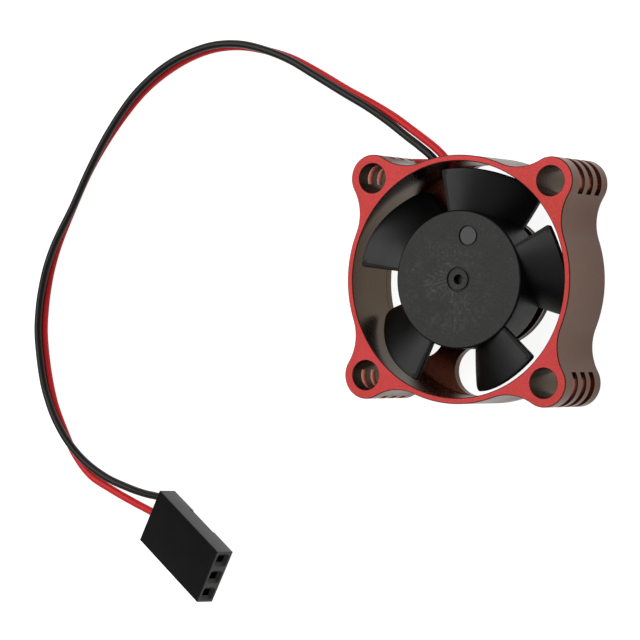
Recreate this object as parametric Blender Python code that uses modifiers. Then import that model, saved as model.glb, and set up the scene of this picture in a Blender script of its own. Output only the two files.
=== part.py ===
"""Cooling fan of an electronic speed controller: 30 x 30 x 10 mm, with its lead.

The fan lies on its back plate. +Z is the intake side that faces the user, and the
origin is the middle of the back face, on the rotor's axis. The lead leaves at the
top left (-X, +Y), runs round to the left and ends in a three-way plug.
"""
import math

import bmesh
import bpy
from mathutils import Euler, Matrix, Vector

MM = 0.001

# ---- Driving dimensions -------------------------------------------------------

# Aluminium frame
FRAME_WIDTH = 30.0 * MM
FRAME_DEPTH = 10.0 * MM
BORE_WALL = 0.75 * MM
HOLE_DIAMETER = 3.6 * MM
HOLE_INSET = 3.0 * MM
LOBE_WALL = 1.1 * MM
WAIST_FILLET = 6.0 * MM

# Cooling slots across each corner, counted from the back
BACK_FIN = 1.8 * MM
MIDDLE_FIN = 1.1 * MM
FRONT_FIN = 2.2 * MM
SLOT_COUNT = 3
SLOT_SETBACK = 0.78 * MM

# Back plate: motor base, arms, air slots and the shelf that the wires cross
PLATE = 1.2 * MM
BASE_RADIUS = 8.15 * MM
ARM_COUNT = 3
ARM_NECK = 2.5 * MM
AIR_LEDGE = 0.1 * MM
SHELF_DROP = 0.15 * MM
NOTCH_WIDTH = 3.0 * MM
NOTCH_HEADROOM = 0.5 * MM
NOTCH_ANGLE = math.radians(113.8)
NOTCH_TURN = math.radians(126.0)
LABEL_RECESS = 0.3 * MM
LABEL_RADIUS = 6.8 * MM
LABEL_THICKNESS = 0.1 * MM

# Impeller
HUB_RADIUS = 8.38 * MM
HUB_WALL = 0.6 * MM
HUB_RECESS = 0.4 * MM
HUB_EDGE = 0.4 * MM
HUB_BASE_GAP = 2.2 * MM
CAP_THICKNESS = 0.8 * MM
CAP_HOLE_RADIUS = 0.575 * MM
CAP_RING_RADIUS = 1.4 * MM
CAP_RING_WIDTH = 0.2 * MM
CAP_MARK_RADIUS = 1.2 * MM
CAP_MARK_PLACE = (1.15 * MM, 5.29 * MM)
CAP_RELIEF = 0.1 * MM
BLADE_COUNT = 5
BLADE_FRONT_ANGLE = math.radians(102.7)
BLADE_ROOT_SPAN = math.radians(52.2)
BLADE_TIP_SPAN = math.radians(49.2)
BLADE_THICKNESS = 0.8 * MM
BLADE_FRONT_RECESS = 0.65 * MM
BLADE_CAMBER = 2.3
BLADE_FRONT_CORNER = 0.35 * MM
BLADE_BACK_CORNER = 0.9 * MM
TIP_CLEARANCE = 0.75 * MM

# Motor
BEARING_BORE = 1.5 * MM
BEARING_OUTER = 4.0 * MM
BEARING_WIDTH = 1.2 * MM
OUTER_RACE_WALL = 0.35 * MM
INNER_RACE_WALL = 0.25 * MM
TUBE_WALL = 0.35 * MM
TUBE_LIP = 0.35 * MM
TUBE_FLANGE = 0.9 * MM
FLANGE_THICKNESS = 0.5 * MM
YOKE_WALL = 0.4 * MM
MAGNET_WALL = 0.8 * MM
SHOE_THICKNESS = 0.5 * MM
SHOE_HALF_ANGLE = math.radians(36.0)
POLE_COUNT = 4
POLE_WIDTH = 1.5 * MM
CORE_RING = 0.45 * MM
INSULATOR = 0.25 * MM
SLEEVE_WALL = 0.2 * MM
WINDING = 0.55 * MM
BOSS_FLANGE = 0.5 * MM
BOSS_WALL = 0.65 * MM
WASHER = 0.15 * MM
CLIP = 0.2 * MM
GROOVE_DEPTH = 0.25 * MM

# Circuit board and what it carries
BOARD_RAISE = 1.45 * MM
BOARD = 0.4 * MM
CHIP_SIZE = (2.9 * MM, 1.6 * MM, 0.8 * MM)
CAPACITOR_SIZE = (1.6 * MM, 0.8 * MM, 0.8 * MM)
DIODE_SIZE = (1.7 * MM, 1.2 * MM, 0.7 * MM)
PIN_RADIUS = 0.25 * MM
SOLDER_RADIUS = 0.45 * MM

# Lead and plug
WIRE_DIAMETER = 1.0 * MM
WAYS = 3
PITCH = 2.54 * MM
PLUG_LENGTH = 14.2 * MM
PLUG_THICKNESS = 2.5 * MM
PLUG_EDGE = 0.15 * MM
CAVITY = 1.9 * MM
CONTACT_HOLE = 1.0 * MM
MOUTH = 1.7 * MM
MOUTH_DEPTH = 0.5 * MM
MOUTH_WALL = 1.2 * MM
WINDOW = (1.2 * MM, 3.5 * MM)
WINDOW_PLACE = 6.6 * MM
SIDE_RECESS = 0.15 * MM
TERMINAL_BARREL = 3.4 * MM
TERMINAL_BORE = 0.7 * MM
BARREL_WALL = 0.22 * MM
WIRE_IN_PLUG = 2.0 * MM
PLUG_PLACE = (-46.27 * MM, -31.49 * MM, 1.93 * MM)
PLUG_TURN = Euler(
    (math.radians(17.9), math.radians(9.3), math.radians(-120.9)), "YXZ")

# Clearances: pieces that touch, the races of a bearing, and moving pieces
SEAT = 0.15 * MM
RACE_GAP = 0.1 * MM
RUN = 0.3 * MM

# Facets round a circle
FINE = 72
ROUND = 40
SMALL = 20

# Routes of the two wires in millimetres, from the motor's solder joints to the plug.
# They leave over the shelf, come down to the table and lie there, the black wire
# beside the red one or on top of it.
BLACK_ROUTE = [
    (-3.3, 6.2, 1.8), (-4.1, 8.0, 1.8), (-4.9, 9.9, 1.8), (-5.6, 11.6, 1.8),
    (-6.6, 13.3, 1.8), (-8.05, 14.95, 1.78), (-10.17, 16.44, 1.52), (-11.72, 17.38, 1.3),
    (-14.68, 19.38, 1.26), (-17.63, 21.19, 1.38), (-20.92, 22.89, 1.45), (-25.82, 25.49, 1.49),
    (-29.12, 27.19, 1.54), (-32.72, 28.46, 1.55), (-36.5, 29.23, 1.52), (-40.39, 29.13, 1.5),
    (-44.08, 28.13, 1.5), (-47.48, 26.54, 1.47), (-50.57, 24.25, 1.52), (-53.05, 21.76, 1.54),
    (-56.25, 17.36, 1.53), (-58.87, 12.77, 1.5), (-61.17, 8.07, 1.5), (-63.67, 3.38, 1.55),
    (-64.81, 0.17, 1.7), (-65.54, -2.53, 1.55), (-65.93, -5.01, 1.5), (-66.03, -8.28, 1.5),
    (-65.59, -11.65, 1.51), (-64.9, -14.94, 1.5), (-64.12, -17.13, 1.54), (-62.74, -19.75, 1.7),
    (-60.75, -22.64, 1.55), (-58.19, -25.15, 1.25), (-54.9, -27.05, 1.15), (-51.21, -28.24, 1.3),
    (-48.54, -28.79, 1.7)]
RED_ROUTE = [
    (-2.2, 6.6, 1.8), (-3.0, 8.4, 1.8), (-3.8, 10.3, 1.8), (-4.5, 12.0, 1.8),
    (-5.25, 13.5, 1.8), (-6.5, 15.1, 1.75), (-8.01, 16.31, 1.55), (-9.67, 17.34, 1.2),
    (-11.46, 18.38, 0.8), (-14.48, 20.2, 0.55), (-17.7, 21.86, 0.51), (-21.1, 23.46, 0.51),
    (-25.99, 25.96, 0.51), (-29.47, 27.5, 0.51), (-33.27, 28.5, 0.51), (-37.07, 29.02, 0.51),
    (-40.78, 28.74, 0.51), (-44.19, 27.74, 0.51), (-47.6, 26.03, 0.51), (-50.61, 23.93, 0.51),
    (-53.21, 21.42, 0.51), (-56.51, 17.32, 0.51), (-59.42, 12.82, 0.51), (-61.72, 8.12, 0.51),
    (-63.82, 3.31, 0.51), (-64.82, 0.11, 0.51), (-65.32, -2.39, 0.51), (-65.62, -5.0, 0.51),
    (-65.72, -8.2, 0.51), (-65.32, -11.51, 0.51), (-64.62, -14.81, 0.51), (-63.62, -18.01, 0.51),
    (-62.12, -21.12, 0.51), (-60.33, -24.18, 0.51), (-57.64, -26.97, 0.55), (-53.94, -28.76, 0.7),
    (-50.37, -30.1, 1.15)]

# ---- Sizes worked out from the driving dimensions -------------------------------

FRAME_RADIUS = FRAME_WIDTH / 2
BORE_RADIUS = FRAME_RADIUS - BORE_WALL
HOLE_OFFSET = FRAME_RADIUS - HOLE_INSET
HOLE_REACH = HOLE_OFFSET * math.sqrt(2)
LOBE_RADIUS = HOLE_DIAMETER / 2 + LOBE_WALL

# Radii of the motor, from the hub's skirt inwards
HUB_INNER = HUB_RADIUS - HUB_WALL
YOKE_OUTER = HUB_INNER - SEAT
YOKE_INNER = YOKE_OUTER - YOKE_WALL
MAGNET_OUTER = YOKE_INNER - SEAT
MAGNET_INNER = MAGNET_OUTER - MAGNET_WALL
CORE_RADIUS = MAGNET_INNER - RUN
SHOE_INNER = CORE_RADIUS - SHOE_THICKNESS

# Radii of the bearings and the stator, from the shaft outwards
SHAFT_RADIUS = BEARING_BORE / 2
RACE_BORE = SHAFT_RADIUS + RACE_GAP
INNER_RACE_RADIUS = RACE_BORE + INNER_RACE_WALL
BEARING_RADIUS = BEARING_OUTER / 2
OUTER_RACE_BORE = BEARING_RADIUS - OUTER_RACE_WALL
TUBE_INNER = BEARING_RADIUS + RACE_GAP
TUBE_OUTER = TUBE_INNER + TUBE_WALL
SLEEVE_INNER = TUBE_OUTER + SEAT
SLEEVE_OUTER = SLEEVE_INNER + SLEEVE_WALL
CORE_INNER = SLEEVE_OUTER + SEAT
CORE_RING_OUTER = CORE_INNER + CORE_RING

# Heights of the rotor, from the cap's front face down
CAP_FRONT = FRAME_DEPTH - HUB_RECESS
CAP_BACK = CAP_FRONT - CAP_THICKNESS
HUB_BOTTOM = PLATE + HUB_BASE_GAP
YOKE_FRONT = CAP_BACK - SEAT
YOKE_BACK = YOKE_FRONT - YOKE_WALL
YOKE_BOTTOM = HUB_BOTTOM + SEAT
MAGNET_FRONT = YOKE_BACK - SEAT
BOSS_FRONT = YOKE_BACK - SEAT
BOSS_BACK = BOSS_FRONT - BOSS_FLANGE
WASHER_FRONT = BOSS_BACK - SEAT
WASHER_BACK = WASHER_FRONT - WASHER

# Heights of the stator, from the back plate up
TUBE_BOTTOM = LABEL_RECESS + SEAT
LIP_TOP = TUBE_BOTTOM + RUN
LOWER_BEARING = LIP_TOP + SEAT
UPPER_BEARING = WASHER_BACK - RACE_GAP - BEARING_WIDTH
TUBE_TOP = BOSS_BACK - RUN
BOARD_BOTTOM = PLATE + BOARD_RAISE
BOARD_TOP = BOARD_BOTTOM + BOARD
COIL_BOTTOM = BOARD_TOP + RUN
COIL_TOP = YOKE_BACK - 2 * RUN
CORE_BOTTOM = COIL_BOTTOM + WINDING + SEAT + INSULATOR + RACE_GAP
CORE_TOP = COIL_TOP - WINDING - SEAT - INSULATOR - RACE_GAP
WIRE_TOP = PLATE + RACE_GAP + WIRE_DIAMETER

# ---- Scene and materials ----------------------------------------------------------

for old in list(bpy.data.objects):
    bpy.data.objects.remove(old, do_unlink=True)

PARTS = bpy.data.collections.new("esc_fan")
CUTTERS = bpy.data.collections.new("cutters")
bpy.context.scene.collection.children.link(PARTS)
bpy.context.scene.collection.children.link(CUTTERS)


def finish(name, colour, roughness, metallic=0.0):
    """Principled material with one colour, for a piece of the model."""
    material = bpy.data.materials.new(name)
    material.use_nodes = True
    shader = material.node_tree.nodes["Principled BSDF"]
    shader.inputs["Base Color"].default_value = (*colour, 1.0)
    shader.inputs["Roughness"].default_value = roughness
    shader.inputs["Metallic"].default_value = metallic
    return material


RED_ALUMINIUM = finish("red_anodised_aluminium", (0.60, 0.06, 0.07), 0.35, 0.7)
BLACK_PLASTIC = finish("black_plastic", (0.02, 0.02, 0.02), 0.45)
BRASS = finish("brass", (0.60, 0.42, 0.16), 0.3, 1.0)
STEEL = finish("steel", (0.55, 0.55, 0.56), 0.3, 1.0)
SHEET_STEEL = finish("plated_sheet_steel", (0.45, 0.45, 0.44), 0.4, 1.0)
ZINC = finish("zinc", (0.50, 0.50, 0.52), 0.45, 1.0)
FERRITE = finish("bonded_ferrite", (0.05, 0.05, 0.055), 0.6)
CORE_STEEL = finish("lamination_steel", (0.30, 0.30, 0.31), 0.5, 1.0)
NYLON = finish("white_nylon", (0.75, 0.73, 0.68), 0.5)
COPPER = finish("enamelled_copper", (0.50, 0.18, 0.06), 0.35, 1.0)
LAMINATE = finish("green_board", (0.03, 0.16, 0.06), 0.5)
CERAMIC = finish("tan_ceramic", (0.42, 0.30, 0.18), 0.5)
SOLDER = finish("solder", (0.55, 0.55, 0.55), 0.35, 1.0)
PAPER = finish("label_foil", (0.62, 0.62, 0.62), 0.5, 0.3)
RED_SLEEVE = finish("red_wire_sleeve", (0.55, 0.02, 0.02), 0.45)
BLACK_SLEEVE = finish("black_wire_sleeve", (0.012, 0.012, 0.012), 0.45)
TINNED = finish("tinned_contact", (0.55, 0.53, 0.48), 0.35, 1.0)

# ---- Modelling helpers --------------------------------------------------------------


def add_object(name, data, material=None, parent=None):
    """Put a mesh or curve in the scene: a part if it has a material, else a cutter."""
    obj = bpy.data.objects.new(name, data)
    if material:
        data.materials.append(material)
        PARTS.objects.link(obj)
    else:
        CUTTERS.objects.link(obj)
        obj.hide_render = True
        obj.display_type = "WIRE"
    obj.parent = parent
    return obj


def arc(centre, radius, start, end, steps):
    """Points along an arc from one angle to another, both ends included."""
    turns = [start + (end - start) * i / steps for i in range(steps + 1)]
    return [(centre[0] + radius * math.cos(a), centre[1] + radius * math.sin(a))
            for a in turns]


def turned_about(points, angle):
    """Turn plane points about the origin."""
    c = math.cos(angle)
    s = math.sin(angle)
    return [(x * c - y * s, x * s + y * c) for x, y in points]


def turned(name, outline, material=None, parent=None, steps=ROUND, ring=True):
    """Turned piece: a section (radius, height) swept about Z by a Screw modifier.

    The section runs down its outer side first. A ring's section is closed, and any
    other one starts and ends on the axis.
    """
    mesh = bpy.data.meshes.new(name)
    edges = [(i, i + 1) for i in range(len(outline) - 1)]
    if ring:
        edges.append((len(outline) - 1, 0))
    mesh.from_pydata([(r, 0.0, z) for r, z in outline], edges, [])
    obj = add_object(name, mesh, material, parent)
    sweep = obj.modifiers.new("sweep", "SCREW")
    sweep.steps = steps
    sweep.render_steps = steps
    sweep.use_merge_vertices = True
    sweep.merge_threshold = 0.000001
    return obj


def ring_section(inner, outer, bottom, top):
    """Section of a plain ring or tube."""
    return [(outer, top), (outer, bottom), (inner, bottom), (inner, top)]


def disc_section(radius, bottom, top):
    """Section of a plain disc or rod on the axis."""
    return [(0.0, top), (radius, top), (radius, bottom), (0.0, bottom)]


def flat(name, outlines, bottom, top, material=None, parent=None):
    """Flat piece with upright edges: filled 2D outlines, extruded and made a mesh.

    An outline inside another one is a hole.
    """
    curve = bpy.data.curves.new(name, "CURVE")
    curve.dimensions = "2D"
    curve.fill_mode = "BOTH"
    curve.extrude = (top - bottom) / 2
    for outline in outlines:
        spline = curve.splines.new("POLY")
        spline.points.add(len(outline) - 1)
        for point, (x, y) in zip(spline.points, outline):
            point.co = (x, y, 0.0, 1.0)
        spline.use_cyclic_u = True
    sketch = bpy.data.objects.new(name + "_outline", curve)
    CUTTERS.objects.link(sketch)
    graph = bpy.context.evaluated_depsgraph_get()
    mesh = bpy.data.meshes.new_from_object(sketch.evaluated_get(graph))
    bpy.data.objects.remove(sketch)
    work = bmesh.new()
    work.from_mesh(mesh)
    bmesh.ops.remove_doubles(work, verts=work.verts, dist=0.000001)
    for vert in work.verts:
        vert.co.z = top if vert.co.z > 0 else bottom
    bmesh.ops.recalc_face_normals(work, faces=work.faces)
    work.to_mesh(mesh)
    work.free()
    mesh.materials.clear()
    mesh.name = name
    return add_object(name, mesh, material, parent)


def box(name, size, centre, material=None, parent=None, turn=0.0, edge=0.0):
    """Block of the given size about its centre, turned about Z, with bevelled edges."""
    mesh = bpy.data.meshes.new(name)
    work = bmesh.new()
    bmesh.ops.create_cube(work, size=1.0)
    bmesh.ops.scale(work, vec=size, verts=work.verts)
    bmesh.ops.rotate(work, matrix=Matrix.Rotation(turn, 3, "Z"), verts=work.verts)
    bmesh.ops.translate(work, vec=centre, verts=work.verts)
    work.to_mesh(mesh)
    work.free()
    obj = add_object(name, mesh, material, parent)
    if edge:
        bevel = obj.modifiers.new("edges", "BEVEL")
        bevel.width = edge
        bevel.segments = 1
    return obj


def boolean(obj, others, operation):
    """Cut or join an object with all the given ones in one exact Boolean."""
    group = bpy.data.collections.new(f"{obj.name}_{operation.lower()}")
    CUTTERS.children.link(group)
    for other in others:
        group.objects.link(other)
    step = obj.modifiers.new(group.name, "BOOLEAN")
    step.operation = operation
    step.solver = "EXACT"
    step.operand_type = "COLLECTION"
    step.collection = group


def cut(obj, cutters):
    """Take the cutters out of an object."""
    boolean(obj, cutters, "DIFFERENCE")


def join(obj, others):
    """Join helper solids to an object."""
    boolean(obj, others, "UNION")


def shade(obj, angle=35.0):
    """Shade smooth with sharp edges, on the sections that a modifier sweeps too."""
    obj.data.shade_smooth()
    if obj.data.polygons:
        obj.data.set_sharp_from_angle(angle=math.radians(angle))


# ---- Aluminium frame ------------------------------------------------------------------


def frame_outline():
    """Round middle with four screw lobes, joined by fillets that touch both arcs."""
    to_fillet = FRAME_RADIUS + WAIST_FILLET
    lobe_to_fillet = LOBE_RADIUS + WAIST_FILLET
    swing = math.acos(
        (HOLE_REACH ** 2 + to_fillet ** 2 - lobe_to_fillet ** 2)
        / (2 * HOLE_REACH * to_fillet))
    quarter = math.pi / 4
    lobe = Vector((HOLE_REACH, 0.0))
    fillet = Vector((to_fillet * math.cos(swing), to_fillet * math.sin(swing)))
    lean = math.atan2(fillet.y - lobe.y, fillet.x - lobe.x)
    inner = math.pi + swing
    outer = math.pi + lean
    round_side = arc((0.0, 0.0), FRAME_RADIUS, swing - 2 * quarter, -swing, 8)
    fillet_in = arc((fillet.x, -fillet.y), WAIST_FILLET, -inner, -outer, 6)
    lobe_tip = arc(lobe, LOBE_RADIUS, -lean, lean, 16)
    fillet_out = arc((fillet.x, fillet.y), WAIST_FILLET, outer, inner, 6)
    corner = round_side[:-1] + fillet_in[:-1] + lobe_tip[:-1] + fillet_out[:-1]
    outline = []
    for k in range(4):
        outline += turned_about(corner, quarter + 2 * quarter * k)
    return outline


def air_slot_outline(turn):
    """Curved slot with full-round ends between two arms of the back plate."""
    outer = BORE_RADIUS - AIR_LEDGE
    middle = (outer + BASE_RADIUS) / 2
    half = (outer - BASE_RADIUS) / 2
    arm = math.asin((ARM_NECK / 2 + half) / middle)
    span = math.pi / ARM_COUNT - arm
    first = (middle * math.cos(-span), middle * math.sin(-span))
    last = (middle * math.cos(span), middle * math.sin(span))
    outline = arc((0.0, 0.0), outer, -span, span, 16)[:-1]
    outline += arc(last, half, span, span + math.pi, 10)[:-1]
    outline += arc((0.0, 0.0), BASE_RADIUS, span, -span, 12)[:-1]
    outline += arc(first, half, math.pi - span, 2 * math.pi - span, 10)[:-1]
    return turned_about(outline, turn)


def frame():
    """Frame milled from one aluminium block, with its back plate left in it."""
    body = flat("frame", [frame_outline()], 0.0, FRAME_DEPTH, RED_ALUMINIUM)
    past = FRAME_DEPTH

    shelf_top = FRAME_RADIUS - SHELF_DROP
    shelf_end = -1.0 * MM
    shelf = box(
        "shelf", (HOLE_OFFSET + shelf_end, shelf_top - HOLE_OFFSET, PLATE),
        ((shelf_end - HOLE_OFFSET) / 2, (shelf_top + HOLE_OFFSET) / 2, PLATE / 2))
    join(body, [shelf])

    bore = turned("bore", disc_section(BORE_RADIUS, PLATE, past + PLATE),
                  steps=FINE, ring=False)
    label = turned("label_recess", disc_section(
        LABEL_RADIUS + SEAT, -PLATE, LABEL_RECESS), ring=False)
    seat = turned("tube_hole", disc_section(TUBE_OUTER + SEAT, -PLATE, 2 * PLATE),
                  ring=False)
    cutters = [bore, label, seat]

    for k in range(ARM_COUNT):
        middle = math.pi / ARM_COUNT + 2 * math.pi * k / ARM_COUNT
        cutters.append(flat(f"air_slot_{k + 1}", [air_slot_outline(middle)],
                            -PLATE, 1.5 * PLATE))

    slot_height = (FRAME_DEPTH - BACK_FIN - FRONT_FIN
                   - (SLOT_COUNT - 1) * MIDDLE_FIN) / SLOT_COUNT
    slot_floor = HOLE_REACH + SLOT_SETBACK
    slot_depth = 2 * LOBE_RADIUS
    for k in range(4):
        turn = math.pi / 4 + math.pi / 2 * k
        away = Vector((math.cos(turn), math.sin(turn), 0.0))
        hole = arc(away * HOLE_REACH, HOLE_DIAMETER / 2, 0.0, 2 * math.pi, SMALL)
        cutters.append(flat(f"screw_hole_{k + 1}", [hole[:-1]], -PLATE, past + PLATE))
        for n in range(SLOT_COUNT):
            bottom = BACK_FIN + n * (slot_height + MIDDLE_FIN)
            centre = away * (slot_floor + slot_depth / 2)
            centre.z = bottom + slot_height / 2
            cutters.append(box(
                f"fin_slot_{k + 1}_{n + 1}",
                (slot_depth, 4 * LOBE_RADIUS, slot_height), centre, turn=turn))

    notch_height = WIRE_DIAMETER + NOTCH_HEADROOM
    notch_reach = BORE_RADIUS + BORE_WALL / 2
    cutters.append(box(
        "wire_notch", (6 * BORE_WALL, NOTCH_WIDTH, notch_height),
        (notch_reach * math.cos(NOTCH_ANGLE), notch_reach * math.sin(NOTCH_ANGLE),
         PLATE + notch_height / 2), turn=NOTCH_TURN))
    cut(body, cutters)


def back_label():
    """Plain foil disc that closes the bearing tube's end from the back."""
    top = LABEL_RECESS - RACE_GAP
    turned("back_label", disc_section(LABEL_RADIUS, top - LABEL_THICKNESS, top),
           PAPER, ring=False)


# ---- Bearings and shaft ------------------------------------------------------------------


def bearing_tube():
    """Brass tube that carries both bearings, with a lip, a shoulder and a flange."""
    flange_bottom = PLATE + SEAT
    flange_top = flange_bottom + FLANGE_THICKNESS
    shoulder_bottom = LOWER_BEARING + BEARING_WIDTH + SEAT
    shoulder_top = UPPER_BEARING - SEAT
    lip = TUBE_OUTER - TUBE_WALL - TUBE_LIP
    turned("bearing_tube", [
        (TUBE_OUTER, TUBE_TOP),
        (TUBE_OUTER, flange_top),
        (TUBE_OUTER + TUBE_FLANGE, flange_top),
        (TUBE_OUTER + TUBE_FLANGE, flange_bottom),
        (TUBE_OUTER, flange_bottom),
        (TUBE_OUTER, TUBE_BOTTOM),
        (lip, TUBE_BOTTOM),
        (lip, LIP_TOP),
        (TUBE_INNER, LIP_TOP),
        (TUBE_INNER, shoulder_bottom),
        (lip, shoulder_bottom),
        (lip, shoulder_top),
        (TUBE_INNER, shoulder_top),
        (TUBE_INNER, TUBE_TOP)], BRASS)


def bearing(name, bottom, rotor):
    """Ball bearing: outer race, ring of balls in their cage, and inner race."""
    top = bottom + BEARING_WIDTH
    edge = 0.1 * BEARING_WIDTH
    turned(name + "_outer_race", [
        (BEARING_RADIUS - edge, top),
        (BEARING_RADIUS, top - edge),
        (BEARING_RADIUS, bottom + edge),
        (BEARING_RADIUS - edge, bottom),
        (OUTER_RACE_BORE, bottom),
        (OUTER_RACE_BORE, top)], STEEL, steps=SMALL)
    turned(name + "_inner_race", ring_section(
        RACE_BORE, INNER_RACE_RADIUS, bottom, top), STEEL, rotor, SMALL)
    inner = INNER_RACE_RADIUS + RACE_GAP
    outer = OUTER_RACE_BORE - RACE_GAP
    half = (outer - inner) / 2
    middle = (bottom + top) / 2
    section = arc(((inner + outer) / 2, middle), half, math.pi / 2, -3 * math.pi / 2, 8)
    turned(name + "_ball_ring", section[:-1], STEEL, steps=SMALL)


def shaft(rotor):
    """Shaft with the groove that its clip sits in."""
    groove_bottom = TUBE_BOTTOM
    groove_top = groove_bottom + CLIP + 2 * RACE_GAP
    groove = SHAFT_RADIUS - GROOVE_DEPTH
    edge = GROOVE_DEPTH / 2
    foot = groove_bottom - edge
    turned("shaft", [
        (0.0, YOKE_FRONT),
        (SHAFT_RADIUS - edge, YOKE_FRONT),
        (SHAFT_RADIUS, YOKE_FRONT - edge),
        (SHAFT_RADIUS, groove_top),
        (groove, groove_top),
        (groove, groove_bottom),
        (SHAFT_RADIUS, groove_bottom),
        (SHAFT_RADIUS, foot + edge / 2),
        (SHAFT_RADIUS - edge / 2, foot),
        (0.0, foot)], STEEL, rotor, SMALL, ring=False)

    clip_bottom = groove_bottom + RACE_GAP
    opening = math.radians(35.0)
    inner = groove + RACE_GAP
    outer = OUTER_RACE_BORE - SEAT - RACE_GAP
    outline = arc((0.0, 0.0), outer, opening, 2 * math.pi - opening, 18)
    outline += arc((0.0, 0.0), inner, 2 * math.pi - opening, opening, 12)
    flat("shaft_clip", [outline], clip_bottom, clip_bottom + CLIP, STEEL, rotor)

    turned("preload_washer", ring_section(
        SHAFT_RADIUS + SEAT, INNER_RACE_RADIUS + 2 * RACE_GAP,
        WASHER_BACK, WASHER_FRONT), STEEL, rotor, SMALL)


# ---- Stator ---------------------------------------------------------------------------------


def pole_outline(ring, tip, width, shoe=None):
    """Ring with straight poles; a shoe radius spreads each pole's end along an arc."""
    outline = []
    step = 2 * math.pi / POLE_COUNT
    for k in range(POLE_COUNT):
        at_ring = math.asin(width / 2 / ring)
        at_tip = math.asin(width / 2 / tip)
        pole = [(ring * math.cos(at_ring), -width / 2)]
        if shoe:
            pole.append((tip * math.cos(at_tip), -width / 2))
            pole += turned_about([(tip, 0.0)], -SHOE_HALF_ANGLE)
            pole += arc((0, 0), shoe, -SHOE_HALF_ANGLE, SHOE_HALF_ANGLE, 10)
            pole += turned_about([(tip, 0.0)], SHOE_HALF_ANGLE)
            pole.append((tip * math.cos(at_tip), width / 2))
        else:
            pole.append((tip, -width / 2))
            pole.append((tip, width / 2))
        pole += arc((0, 0), ring, at_ring, step - at_ring, 5)[:-1]
        outline += turned_about(pole, step * k)
    return outline


def stator():
    """Laminated core with four poles, its two insulators and four coils."""
    bore = arc((0.0, 0.0), CORE_INNER, 0.0, 2 * math.pi, ROUND)[:-1]
    core = pole_outline(CORE_RING_OUTER, SHOE_INNER, POLE_WIDTH, CORE_RADIUS)
    flat("stator_core", [core, bore], CORE_BOTTOM, CORE_TOP, CORE_STEEL)

    arm_width = POLE_WIDTH + 4 * RACE_GAP
    sleeve_bore = arc((0.0, 0.0), SLEEVE_INNER, 0.0, 2 * math.pi, ROUND)[:-1]
    cover = pole_outline(CORE_RING_OUTER, SHOE_INNER - SEAT, arm_width)
    lower_bottom = CORE_BOTTOM - RACE_GAP - INSULATOR
    upper_top = CORE_TOP + RACE_GAP + INSULATOR
    middle = (CORE_BOTTOM + CORE_TOP) / 2
    lower = flat("insulator_lower", [cover, sleeve_bore], lower_bottom,
                 lower_bottom + INSULATOR, NYLON)
    upper = flat("insulator_upper", [cover, sleeve_bore], upper_top - INSULATOR,
                 upper_top, NYLON)
    join(lower, [turned("sleeve_lower", ring_section(
        SLEEVE_INNER, SLEEVE_OUTER, lower_bottom, middle - SEAT))])
    join(upper, [turned("sleeve_upper", ring_section(
        SLEEVE_INNER, SLEEVE_OUTER, middle + SEAT, upper_top))])

    half_hole = arm_width / 2 + RACE_GAP
    half_width = half_hole + WINDING
    half_height = (COIL_TOP - COIL_BOTTOM) / 2
    coil_inner = CORE_RING_OUTER + SEAT
    coil_outer = math.sqrt(SHOE_INNER ** 2 - half_width ** 2) - SEAT
    outer = rounded_rectangle(half_width, half_height, WINDING)
    hole = rounded_rectangle(half_hole, half_height - WINDING, 0.0)
    for k in range(POLE_COUNT):
        coil = flat(f"coil_{k + 1}", [outer, hole], coil_inner, coil_outer, COPPER)
        stand = Matrix(((0, 0, 1), (1, 0, 0), (0, 1, 0))).to_4x4()
        raise_up = Matrix.Translation((0.0, 0.0, COIL_BOTTOM + half_height))
        turn = Matrix.Rotation(2 * math.pi * k / POLE_COUNT, 4, "Z")
        coil.matrix_world = raise_up @ turn @ stand


def rounded_rectangle(half_width, half_height, radius, steps=3):
    """Outline of a rectangle about the origin, with its corners rounded."""
    if not radius:
        return [(half_width, half_height), (-half_width, half_height),
                (-half_width, -half_height), (half_width, -half_height)]
    x = half_width - radius
    y = half_height - radius
    outline = []
    for k, corner in enumerate(((x, y), (-x, y), (-x, -y), (x, -y))):
        start = math.pi / 2 * k
        outline += arc(corner, radius, start, start + math.pi / 2, steps)
    return outline


def circuit_board():
    """Round board under the stator, its parts on the back and the wires' joints."""
    hole = TUBE_OUTER + SEAT
    turned("circuit_board", ring_section(
        hole, HUB_INNER - RUN, BOARD_BOTTOM, BOARD_TOP), LAMINATE)

    reach = (TUBE_OUTER + TUBE_FLANGE + HUB_INNER) / 2
    for name, size, angle, material in (
            ("driver_chip", CHIP_SIZE, -60.0, BLACK_PLASTIC),
            ("capacitor", CAPACITOR_SIZE, 20.0, CERAMIC),
            ("protection_diode", DIODE_SIZE, -140.0, BLACK_PLASTIC)):
        turn = math.radians(angle)
        centre = (reach * math.cos(turn), reach * math.sin(turn),
                  BOARD_BOTTOM - RACE_GAP - size[2] / 2)
        box(name, size, centre, material, turn=turn + math.pi / 2)

    pin_reach = (CORE_INNER + CORE_RING_OUTER) / 2
    for k in range(2):
        turn = math.pi / 4 + math.pi / 2 * k
        pin = turned(f"winding_pin_{k + 1}", disc_section(
            PIN_RADIUS, BOARD_TOP + RACE_GAP,
            CORE_BOTTOM - INSULATOR - 2 * RACE_GAP), TINNED, steps=12, ring=False)
        pin.location = (pin_reach * math.cos(turn), pin_reach * math.sin(turn), 0.0)

    for name, route in (("red", RED_ROUTE), ("black", BLACK_ROUTE)):
        joint = turned(f"solder_joint_{name}", [
            (0.0, BOARD_BOTTOM - RACE_GAP),
            (SOLDER_RADIUS, BOARD_BOTTOM - RACE_GAP),
            (SOLDER_RADIUS / 2, WIRE_TOP + RACE_GAP),
            (0.0, WIRE_TOP + RACE_GAP)], SOLDER, steps=12, ring=False)
        joint.location = (route[0][0] * MM, route[0][1] * MM, 0.0)


# ---- Rotor -----------------------------------------------------------------------------------


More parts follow.
